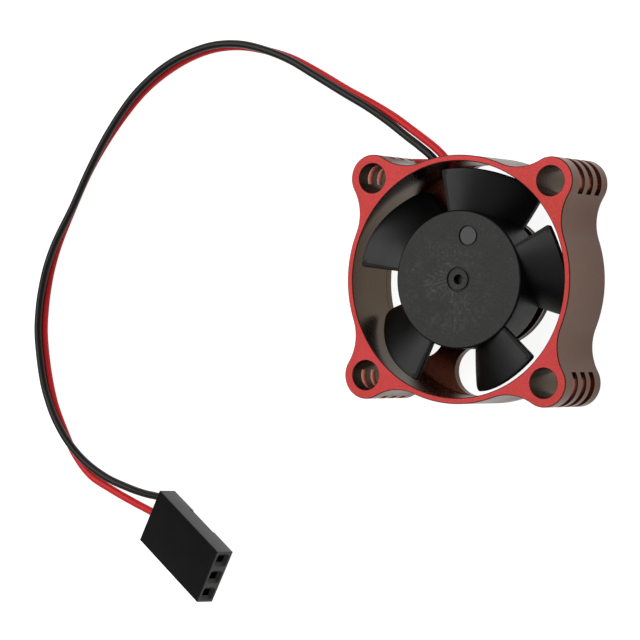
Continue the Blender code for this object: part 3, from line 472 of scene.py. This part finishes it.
def frame_outline():
    """Circle with four screw lobes, each joined to it by two fillets.

    A fillet's middle lies its own radius outside both the circle and the lobe, which
    fixes its place by the law of cosines, so that it touches both arcs.
    """
    to_fillet = FRAME_RADIUS + WAIST_FILLET
    lobe_to_fillet = LOBE_RADIUS + WAIST_FILLET
    swing = math.acos((HOLE_REACH ** 2 + to_fillet ** 2 - lobe_to_fillet ** 2)
                      / (2 * HOLE_REACH * to_fillet))
    fillet = (to_fillet * math.cos(swing), to_fillet * math.sin(swing))
    lean = math.atan2(fillet[1], fillet[0] - HOLE_REACH)
    inner, outer = math.pi + swing, math.pi + lean
    corner = np.concatenate([
        arc((0.0, 0.0), FRAME_RADIUS, swing - math.pi / 2, -swing, 28)[:-1],
        arc((fillet[0], -fillet[1]), WAIST_FILLET, -inner, -outer, 18)[:-1],
        arc((HOLE_REACH, 0.0), LOBE_RADIUS, -lean, lean, 48)[:-1],
        arc(fillet, WAIST_FILLET, outer, inner, 18)[:-1]])
    return np.concatenate([about(corner, math.pi / 4 + math.pi / 2 * k)
                           for k in range(4)])


def air_slot_outline(turn):
    """Curved slot between two arms of the back plate.

    Two arcs about the axis, joined by half circles that each lie half an arm's width
    from the arm's middle line.
    """
    outer = BORE_RADIUS - 0.02 * MM
    middle, half = (outer + BASE_RADIUS) / 2, (outer - BASE_RADIUS) / 2
    span = math.pi / 3 - math.asin((ARM_HALF_WIDTH + half) / middle)
    first = (middle * math.cos(-span), middle * math.sin(-span))
    last = (middle * math.cos(span), middle * math.sin(span))
    return about(np.concatenate([
        arc((0.0, 0.0), outer, -span, span, 60)[:-1],
        arc(last, half, span, span + math.pi, 32)[:-1],
        arc((0.0, 0.0), BASE_RADIUS, span, -span, 40)[:-1],
        arc(first, half, math.pi - span, 2 * math.pi - span, 32)[:-1]]), turn)


def disc(radius, bottom, top):
    """Profile of a plain disc or drill."""
    return [(radius, bottom), (radius, top)]


red_face = finish("red_anodised_face", (0.325, 0.034, 0.037), (0.230, 0.026, 0.020),
                  (0.26, 0.34), metallic=0.95, grain=0.16 * MM, patch=6 * MM,
                  relief=5e-6)
# The back plate's top is the same red anodise as the faces; its darker, browner red is painted
# shade under the hub and blades.
shaded_plate = finish("red_plate_painted_shade", (0.19, 0.058, 0.034), (0.15, 0.045, 0.026),
                   (0.36, 0.46), metallic=0.95, grain=0.16 * MM, relief=4e-6)
brown_wall = finish("brown_anodised_wall", (0.135, 0.070, 0.043),
                    (0.115, 0.058, 0.035), (0.28, 0.38), metallic=1.0, grain=0.2 * MM,
                    patch=4 * MM, relief=2e-6, stretch=(0.15, 0.15, 1.5))
bored_wall = finish("olive_bored_wall", (0.110, 0.070, 0.039), (0.092, 0.059, 0.033),
                    (0.26, 0.30), metallic=1.0, grain=0.2 * MM, patch=4 * MM,
                    relief=3e-7, stretch=(0.15, 0.15, 1.5))
# The base's upright wall is the frame's own anodised metal; its near black is painted shade in
# the gap under the hub.
base_wall = finish("base_painted_shade", (0.014, 0.009, 0.008), (0.009, 0.006, 0.005),
                   (0.40, 0.50), metallic=0.8, relief=2e-6)
# The pale band along the top of the base's wall is a painted highlight.
base_rim = finish("rim_painted_highlight", (0.42, 0.34, 0.31), (0.34, 0.27, 0.25),
                  (0.30, 0.40), metallic=1.0, relief=2e-6)
# The floors of the fin slots are the red anodise of the faces; their pinkish brown is painted
# light and shade inside the slots.
slot_light_and_shade = finish("slot_painted_light_and_shade", (0.28, 0.100, 0.076), (0.23, 0.080, 0.060),
                    (0.24, 0.30), metallic=0.9, relief=2e-6)
# The broken edges are anodised like the faces; their dark red is painted shade.
broken_edge = finish("chamfer_painted_shade", (0.115, 0.031, 0.021), (0.085, 0.022, 0.015),
                     (0.40, 0.50), metallic=0.6, relief=2e-6)
body = skin("fan_frame", upright(frame_outline(), [
    (-EDGE, 0.0), (0.0, EDGE), (0.0, FRAME_DEPTH - EDGE), (-EDGE, FRAME_DEPTH)]))
shelf = skin("shelf", upright(
    rounded_box(SHELF_MIDDLE, SHELF_SIZE, MILLED_CORNER, 2),
    [(0.0, 0.0), (0.0, PLATE)]))
combined(body, [shelf], "UNION")

tools = [
    skin("bore", turned([
        (BORE_RADIUS, PLATE), (BORE_RADIUS, FRAME_DEPTH - EDGE),
        (BORE_RADIUS + EDGE + OVERRUN, FRAME_DEPTH + OVERRUN)], 300)),
    skin("label_recess", turned(disc(LABEL_RADIUS, -PLATE, LABEL_DEPTH), 120)),
    skin("tube_hole", turned(disc(TUBE_HOLE_RADIUS, -PLATE, 2 * PLATE), 64)),
    skin("wire_notch", upright(
        rounded_box((0.0, 0.0), NOTCH_SIZE, NOTCH_CORNER, 5),
        [(0.0, PLATE), (0.0, PLATE + NOTCH_HEIGHT)]),
        Matrix.Translation((NOTCH_REACH * math.cos(NOTCH_ANGLE),
                            NOTCH_REACH * math.sin(NOTCH_ANGLE), 0.0))
        @ Matrix.Rotation(NOTCH_TURN, 4, "Z"))]
for k in range(3):
    tools.append(skin(f"air_slot_{k}", upright(
        air_slot_outline(math.radians(60 + 120 * k)),
        [(OVERRUN, BACK_EDGE - OVERRUN), (0.0, BACK_EDGE), (0.0, PLATE - RIM),
         (0.0, 2 * PLATE)])))
for k in range(4):
    turn = math.pi / 4 + math.pi / 2 * k
    there = Matrix.Rotation(turn, 4, "Z") @ Matrix.Translation((HOLE_REACH, 0.0, 0.0))
    tools.append(skin(f"screw_hole_{k}", turned(
        [(HOLE_RADIUS + HOLE_EDGE + OVERRUN, -OVERRUN), (HOLE_RADIUS, HOLE_EDGE),
         (HOLE_RADIUS, FRAME_DEPTH - HOLE_EDGE),
         (HOLE_RADIUS + HOLE_EDGE + OVERRUN, FRAME_DEPTH + OVERRUN)], 64), there))
    for bottom, top in FIN_SLOTS:
        tools.append(skin(f"fin_slot_{k}_{bottom}", upright(
            rounded_box(FIN_SLOT_MIDDLE, FIN_SLOT_SIZE, MILLED_CORNER, 2),
            [(0.0, bottom * MM), (0.0, top * MM)]), there))
combined(body, tools, "DIFFERENCE")
soften(body)
normals, middles = face_rows(body)
height, reach = middles[:, 2], np.hypot(middles[:, 0], middles[:, 1])
level = np.abs(normals[:, 2]) > 0.9
sloping = np.abs(normals[:, 2]) > 0.3
inward = np.sum(normals[:, :2] * middles[:, :2], 1) < 0
on_plate = level & (np.abs(height - PLATE) < NEAR) & (reach < BORE_RADIUS)
in_slot = level & (height > PLATE + NEAR) & (height < FRAME_DEPTH - NEAR)
on_base = ~level & (np.abs(reach - BASE_RADIUS) < NEAR)
in_hole = np.hypot(*(np.abs(middles[:, :2]) - HOLE_OFFSET).T) < HOLE_RADIUS + NEAR
in_bore = inward & (reach < BORE_RADIUS + NEAR)
# Here the plate's top, the slot floors, the broken edges and the base's wall get their painted
# shade, and the top band of the base's wall its painted highlight.
finish_faces(body, brown_wall, (shaded_plate, on_plate), (slot_light_and_shade, in_slot),
             (red_face, level), (broken_edge, sloping),
             (base_rim, on_base & (height > PLATE - RIM)), (base_wall, on_base),
             (bored_wall, in_hole | in_bore))
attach(body, "stator")
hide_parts("frame")

# ---- Impeller ---------------------------------------------------------------
# Hub and five blades in one piece of black nylon. The cap has a matt spark-eroded
# face with the round mark of an ejector pin, and the blades are smooth. The rims of
# the cap and blades are darkened with painted shade, and the pin mark is paled with
# a painted sheen.

HUB_RADIUS = 8.38 * MM
HUB_INNER = 7.78 * MM
HUB_BOTTOM = 3.4 * MM
CAP_FRONT = 9.6 * MM
CAP_BACK = 8.8 * MM
BLADE_ROOT = 8.08 * MM
BLADE_TIP = 13.5 * MM
BLADE_START = math.radians(102.7)
BLADE_ROOT_SPAN = math.radians(52.2)
BLADE_TIP_SPAN = math.radians(49.2)
BLADE_FRONT = 9.35 * MM
BLADE_DROP = 5.95 * MM
BLADE_CAMBER = 2.3
BLADE_THICKNESS = 0.8 * MM
FRONT_CORNER = 0.35 * MM
BACK_CORNER = 0.9 * MM
BLADE_EDGE = 0.13 * MM
# Rows of points fill the blade's two faces between its rim and a middle line, which
# stops at the inset from the blade's ends.
FACE_ROWS = 6
MIDDLE_INSET = 2.7 * MM
CAP_EDGE = 0.26 * MM
HUB_EDGE = 0.06 * MM
# The groove round the shaft hole and the hole's edge, as radius and depth below the
# cap's face, and the ejector pin's ring, as radius and height, all in millimetres.
SHAFT_HOLE_RADIUS = 0.575 * MM
SHAFT_GROOVE = ((1.55, 0.0), (1.50, 0.03), (1.46, 0.18), (1.33, 0.18), (1.29, 0.03),
                (1.24, 0.0), (0.625, 0.0), (0.575, 0.05))
PIN_RING = ((1.22, -0.2), (1.30, 0.1), (1.04, 0.1), (1.08, -0.2))
PIN_RADIUS = 1.08 * MM
PIN_MIDDLE = (1.15 * MM, 5.29 * MM)
# The scuffs on the cap: how fine the strokes are round and along the radius, where
# they are thickest, and the distances between which they fade.
STROKES_PER_RADIAN = 11.0
STROKE_LENGTH = 1.25 * MM
SCUFF_MIDDLE = (-1.4 * MM, -1.0 * MM, 0.0)
SCUFF_REACH = (1.2 * MM, 6.5 * MM)
SCUFF_GREY = (0.125, 0.122, 0.118)


def blade_grid(k):
    """Blade k as a closed skin round its plan outline.

    The plan is laid out flat, as distance back along the tip and radius. Rows run
    from the middle line of the underside to its rim, round the edge in two quarter
    circles, and back to the middle line of the top. A flat point (a, r) goes to the
    angle start - a / length * span(r), and drops by drop * (a / length) ** camber.
    """
    length = BLADE_TIP_SPAN * BLADE_TIP
    front, back = FRONT_CORNER, BACK_CORNER
    run = np.linspace(front, length - back, 41)
    fall = np.linspace(BLADE_ROOT, BLADE_TIP - back, 17)
    rise = np.linspace(BLADE_TIP - front, BLADE_ROOT, 17)
    outline = np.concatenate([
        np.stack([run, np.full_like(run, BLADE_ROOT)], 1),
        [[length, BLADE_ROOT]],
        np.stack([np.full_like(fall, length), fall], 1)[1:-1],
        arc((length - back, BLADE_TIP - back), back, 0.0, math.pi / 2, 12)[:-1],
        np.stack([run[::-1], np.full_like(run, BLADE_TIP)], 1),
        arc((front, BLADE_TIP - front), front, math.pi / 2, math.pi, 8)[1:],
        np.stack([np.zeros_like(rise), rise], 1)[1:]])
    e, half = BLADE_EDGE, BLADE_THICKNESS / 2
    quarter = np.linspace(0.0, math.pi / 2, 5)
    rim = np.concatenate([
        np.stack([-e + e * np.sin(quarter), -half + e - e * np.cos(quarter)], 1),
        np.stack([-e + e * np.cos(quarter), half - e + e * np.sin(quarter)], 1)])
    edge = upright(outline, rim)
    middle = np.stack([
        np.clip(outline[:, 0], MIDDLE_INSET, length - MIDDLE_INSET),
        np.full(len(outline), (BLADE_ROOT + BLADE_TIP) / 2)], 1)
    share = np.linspace(0.0, 1.0, FACE_ROWS + 1)[1:, None, None]

    def inwards(row):
        """Rows from the rim's row to the middle line, in even steps on the flat."""
        flat = row[None, :, :2] * (1 - share) + middle[None] * share
        return np.concatenate([flat, np.broadcast_to(row[None, :, 2:], (*flat.shape[:2], 1))],
                              2)

    grid = np.concatenate([inwards(edge[0])[::-1], edge, inwards(edge[-1])])
    along = np.clip(grid[..., 0] / length, 0.0, 1.0)
    out = (grid[..., 1] - BLADE_ROOT) / (BLADE_TIP - BLADE_ROOT)
    span = BLADE_ROOT_SPAN + (BLADE_TIP_SPAN - BLADE_ROOT_SPAN) * out
    angle = BLADE_START + 2 * math.pi * k / 5 - span * along
    height = BLADE_FRONT - BLADE_DROP * along ** BLADE_CAMBER - half + grid[..., 2]
    # Laid out flat the outline runs anticlockwise with a growing, and the angle
    # falls as a grows, so the columns are turned round to keep the outside out.
    return np.stack([grid[..., 1] * np.cos(angle), grid[..., 1] * np.sin(angle),
                     height], 2)[:, ::-1]


def blade(k):
    """Mesh of blade k, with its two middle lines merged."""
    grid = blade_grid(k)
    rows, columns = grid.shape[:2]
    index = np.arange(rows * columns).reshape(rows, columns)
    faces = np.stack([index[:-1], np.roll(index[:-1], -1, 1), np.roll(index[1:], -1, 1),
                      index[1:]], 2).reshape(-1, 4).tolist()
    mesh = bpy.data.meshes.new(f"blade_{k}")
    mesh.from_pydata(grid.reshape(-1, 3).tolist(), [], faces)
    row = np.arange(rows - 1)
    on_edge = np.repeat((row >= FACE_ROWS) & (row < rows - 1 - FACE_ROWS), columns)
    mesh.polygons.foreach_set("material_index", on_edge.astype(np.int32))
    for material in (blade_nylon, edge_nylon):
        mesh.materials.append(material)
    work = bmesh.new()
    work.from_mesh(mesh)
    bmesh.ops.remove_doubles(work, verts=work.verts, dist=1e-6)
    bmesh.ops.recalc_face_normals(work, faces=work.faces)
    work.to_mesh(mesh)
    work.free()
    made = bpy.data.objects.new(mesh.name, mesh)
    scene.collection.objects.link(made)
    return made


def cap_scuffs(tree):
    """Pale scuffs: short radial strokes and specks, thickest left of the middle.

    The strokes are noise on the angle about the axis and the radius, the specks are
    fine noise, and both fade with the distance from a point beside the axis.
    """
    point = add_node(tree, "TexCoord").outputs["Object"]
    parts = add_node(tree, "SeparateXYZ", {0: point})
    angle = worked(tree, "ARCTAN2", parts.outputs[1], parts.outputs[0])
    flat = add_node(tree, "CombineXYZ", {
        0: parts.outputs[0], 1: parts.outputs[1]}).outputs[0]
    radius = add_node(tree, "VectorMath", {0: flat}, operation="LENGTH").outputs["Value"]
    swept = add_node(tree, "CombineXYZ", {
        0: worked(tree, "MULTIPLY", angle, STROKES_PER_RADIAN),
        1: worked(tree, "MULTIPLY", radius, 1.0 / STROKE_LENGTH)}).outputs[0]
    strokes = add_node(tree, "TexNoise", {
        "Vector": swept, "Scale": 1.0, "Detail": 5.0, "Roughness": 0.65}).outputs["Fac"]
    strokes = between(tree, strokes, 0.0, 1.0, (0.48, 0.76))
    specks = noise(tree, point, 0.42 * MM, 3.0, (0.52, 0.74))
    marks = worked(tree, "MAXIMUM", strokes, specks)
    beside = add_node(tree, "VectorMath", {0: flat, 1: SCUFF_MIDDLE},
                      operation="DISTANCE").outputs["Value"]
    fade = between(tree, beside, 1.0, 0.15, SCUFF_REACH)
    patches = noise(tree, point, 2.2 * MM, 2.0, (0.35, 0.6))
    shown = worked(tree, "MULTIPLY", fade, patches)
    return worked(tree, "MULTIPLY", marks, shown)


def cap_finish():
    """Matt black nylon with the grey scuffs of handling round the middle."""
    material = finish("matt_cap_nylon", (0.034, 0.033, 0.032), (0.018, 0.0175, 0.017),
                      (0.50, 0.62), specular=0.3, grain=0.3 * MM, patch=1.1 * MM,
                      relief=8e-6)
    tree = material.node_tree
    socket = tree.nodes["Principled BSDF"].inputs["Base Color"]
    plain = socket.links[0].from_socket
    tree.links.new(blended(tree, cap_scuffs(tree), plain, SCUFF_GREY), socket)
    return material


blade_nylon = finish("smooth_blade_nylon", (0.0065, 0.0064, 0.0062), (0.005, 0.005, 0.005),
                     (0.40, 0.48), specular=0.36, grain=0.1 * MM, patch=3 * MM,
                     relief=1.5e-6)
# The rims of the blades and of the cap are the same nylon as the blades; their darker colour is
# painted shade that draws a dark outline.
edge_nylon = finish("nylon_rims_painted_shade", (0.0045, 0.0044, 0.0043), (0.003, 0.003, 0.003),
                    (0.44, 0.54), specular=0.2, grain=0.1 * MM, relief=1.5e-6)
cap_nylon = cap_finish()
# The pin mark is a little smoother than the cap round it; its paler grey is a painted sheen.
pin_nylon = finish("ejector_mark_painted_sheen", (0.075, 0.072, 0.072), (0.045, 0.044, 0.043),
                   (0.42, 0.52), specular=0.4, grain=0.15 * MM, patch=1 * MM, relief=4e-6)
quarter = np.linspace(0.0, math.pi / 2, 7)
hub = skin("fan_impeller", turned([
    (HUB_RADIUS - HUB_EDGE, HUB_BOTTOM), (HUB_RADIUS, HUB_BOTTOM + HUB_EDGE),
    *zip(HUB_RADIUS - CAP_EDGE * (1 - np.cos(quarter)),
         CAP_FRONT - CAP_EDGE * (1 - np.sin(quarter))),
    *((radius * MM, CAP_FRONT - depth * MM) for radius, depth in SHAFT_GROOVE),
    (SHAFT_HOLE_RADIUS, CAP_BACK), (HUB_INNER, CAP_BACK), (HUB_INNER, HUB_BOTTOM)]),
    ring=True)
mark = skin("pin_mark", turned(
    [(radius * MM, CAP_FRONT + height * MM) for radius, height in PIN_RING], 96),
    Matrix.Translation((*PIN_MIDDLE, 0.0)), ring=True)
combined(hub, [mark], "DIFFERENCE")
for material in (blade_nylon, edge_nylon):
    hub.data.materials.append(material)
combined(hub, [blade(k) for k in range(5)], "UNION")
soften(hub)
weighted = hub.modifiers.new("flat_faces", "WEIGHTED_NORMAL")
weighted.weight = 90
weighted.keep_sharp = True
normals, middles = face_rows(hub)
on_cap = (middles[:, 2] > CAP_FRONT - NEAR) & (normals[:, 2] > 0.95)
on_pin = on_cap & (np.hypot(*(middles[:, :2] - PIN_MIDDLE).T) < PIN_RADIUS)
on_rim = (middles[:, 2] > CAP_FRONT - CAP_EDGE) & (
    np.hypot(*middles[:, :2].T) > HUB_RADIUS - CAP_EDGE)
# The cap's rim and the blades' rims take the nylon with painted shade, and the pin mark the nylon
# with a painted sheen.
on_edge = np.zeros(len(normals), np.int32)
hub.data.polygons.foreach_get("material_index", on_edge)
finish_faces(hub, blade_nylon, (pin_nylon, on_pin), (cap_nylon, on_cap),
             (edge_nylon, on_rim | (on_edge == 1)))
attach(hub, "rotor")
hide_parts("impeller")

# ---- Motor ------------------------------------------------------------------
# The other pieces are right as they are, and each gets the finish of its own stock:
# turned brass, ground steel, punched laminations, enamelled wire, moulded nylon.


def bands(axis, pitch):
    """Pattern of flat layers across one axis, or of rings round Z, at that pitch."""
    def pattern(tree):
        """Height from 0 to 1 that rises and falls once in each pitch."""
        point = add_node(tree, "TexCoord").outputs["Object"]
        kind = {"wave_type": "RINGS", "rings_direction": "Z"} if axis == "ROUND" else {
            "wave_type": "BANDS", "bands_direction": axis}
        return add_node(tree, "TexWave", {
            "Vector": point, "Scale": math.pi / 10 / pitch}, **kind).outputs["Fac"]
    return pattern


stock = {
    "brass": finish("turned_brass", (0.62, 0.42, 0.15), (0.52, 0.34, 0.12), (0.24, 0.34),
                    metallic=1.0, pattern=bands("Z", 0.12 * MM)),
    "ground_steel": finish("ground_steel", (0.58, 0.58, 0.59), (0.48, 0.48, 0.50),
                           (0.18, 0.28), metallic=1.0, stretch=(1, 1, 4)),
    "oiled_steel": finish("oiled_steel", (0.065, 0.064, 0.062), (0.035, 0.034, 0.033),
                          (0.44, 0.56), metallic=1.0, patch=0.4 * MM, relief=8e-6),
    "plated_steel": finish("zinc_plated_steel", (0.50, 0.50, 0.49), (0.40, 0.40, 0.39),
                           (0.34, 0.46), metallic=1.0, relief=4e-6),
    "ferrite": finish("bonded_ferrite", (0.055, 0.055, 0.06), (0.04, 0.04, 0.045),
                      (0.55, 0.68), grain=0.08 * MM, relief=8e-6),
    "zinc": finish("cast_zinc", (0.50, 0.50, 0.52), (0.42, 0.42, 0.44), (0.42, 0.52),
                   metallic=1.0, relief=6e-6),
    "laminations": finish("punched_laminations", (0.34, 0.34, 0.35), (0.22, 0.22, 0.23),
                          (0.40, 0.52), metallic=1.0, relief=2e-5,
                          pattern=bands("Z", 0.2 * MM)),
    "copper": finish("enamelled_copper_wire", (0.56, 0.20, 0.07), (0.42, 0.13, 0.04),
                     (0.26, 0.36), metallic=1.0, relief=3e-5,
                     pattern=bands("ROUND", 0.16 * MM)),
    "nylon": finish("white_nylon", (0.76, 0.74, 0.69), (0.68, 0.66, 0.61), (0.42, 0.52)),
    "board": finish("green_solder_mask", (0.03, 0.17, 0.06), (0.02, 0.10, 0.04),
                    (0.24, 0.34), grain=0.3 * MM, relief=6e-6),
    "chip": finish("chip_resin", (0.020, 0.020, 0.021), (0.014, 0.014, 0.015),
                   (0.48, 0.60), grain=0.06 * MM, relief=4e-6),
    "ceramic": finish("tan_ceramic", (0.44, 0.31, 0.18), (0.36, 0.25, 0.15),
                      (0.40, 0.50)),
    "solder": finish("solder", (0.58, 0.58, 0.58), (0.46, 0.46, 0.47), (0.20, 0.36),
                     metallic=1.0, patch=0.5 * MM),
    "foil": finish("label_foil", (0.66, 0.66, 0.66), (0.58, 0.58, 0.59), (0.34, 0.44),
                   metallic=0.4, grain=0.1 * MM, stretch=(0.1, 1, 1)),
}
made_of = {
    "brass": ["bearing_tube"],
    "ground_steel": ["lower_bearing_outer_race", "lower_bearing_ball_ring",
                     "lower_bearing_inner_race", "upper_bearing_outer_race",
                     "upper_bearing_ball_ring", "upper_bearing_inner_race",
                     "shaft_clip", "preload_washer"],
    "oiled_steel": ["shaft"],
    "plated_steel": ["rotor_yoke"],
    "ferrite": ["ring_magnet"],
    "zinc": ["shaft_boss"],
    "laminations": ["stator_core"],
    "copper": ["coil_1", "coil_2", "coil_3", "coil_4"],
    "nylon": ["insulator_lower", "insulator_upper"],
    "board": ["circuit_board"],
    "chip": ["driver_chip", "protection_diode"],
    "ceramic": ["capacitor"],
    "solder": ["solder_joint_red", "solder_joint_black", "winding_pin_1",
               "winding_pin_2"],
    "foil": ["back_label"],
}
for kind, names in made_of.items():
    for name in names:
        cad[name].data.materials.clear()
        cad[name].data.materials.append(stock[kind])

# ---- Table and light --------------------------------------------------------
# A plain white table and one large soft lamp, high up behind the fan and to its
# left, in a room with pale walls.

TABLE_REACH = 3.0
# The table's glow where it is seen straight on, and what is added to it in a mirror.
SEEN_GLOW = 0.90
MIRRORED_GLOW = 0.6
LAMP_PLACE = (-0.286, 0.20, 0.63)
LAMP_SIZE = (0.80, 0.58)
corners = TABLE_REACH * np.array([(-1, -1, 0), (1, -1, 0), (1, 1, 0), (-1, 1, 0)])
floor_mesh = bpy.data.meshes.new("table")
floor_mesh.from_pydata(corners.tolist(), [], [(0, 1, 2, 3)])
floor = bpy.data.objects.new("table", floor_mesh)
scene.collection.objects.link(floor)
white = bpy.data.materials.new("white_table")
white.use_nodes = True
tree = white.node_tree
shader = tree.nodes["Principled BSDF"]
shader.inputs["Base Color"].default_value = (0.70, 0.70, 0.70, 1.0)
shader.inputs["Roughness"].default_value = 0.8
shader.inputs["Specular IOR Level"].default_value = 0.2
rays = add_node(tree, "LightPath").outputs
mirrored = worked(tree, "MAXIMUM", rays["Is Glossy Ray"], rays["Is Transmission Ray"])
seen = worked(tree, "MULTIPLY", rays["Is Camera Ray"], SEEN_GLOW)
glow = worked(tree, "MULTIPLY_ADD", mirrored, MIRRORED_GLOW, seen)
shader.inputs["Emission Color"].default_value = (1.0, 1.0, 1.0, 1.0)
tree.links.new(glow, shader.inputs["Emission Strength"])
floor_mesh.materials.append(white)

world = bpy.data.worlds.new("room")
world.use_nodes = True
room = world.node_tree.nodes["Background"]
room.inputs["Color"].default_value = (1.0, 1.0, 1.0, 1.0)
room.inputs["Strength"].default_value = 0.30
scene.world = world

light = bpy.data.lights.new("softbox", "AREA")
light.shape = "RECTANGLE"
light.size, light.size_y = LAMP_SIZE
light.energy = 3.2
lamp = bpy.data.objects.new("softbox", light)
lamp.location = LAMP_PLACE
lamp.rotation_mode = "QUATERNION"
lamp.rotation_quaternion = Vector(LAMP_PLACE).to_track_quat("Z", "Y")
lamp.visible_camera = False
scene.collection.objects.link(lamp)
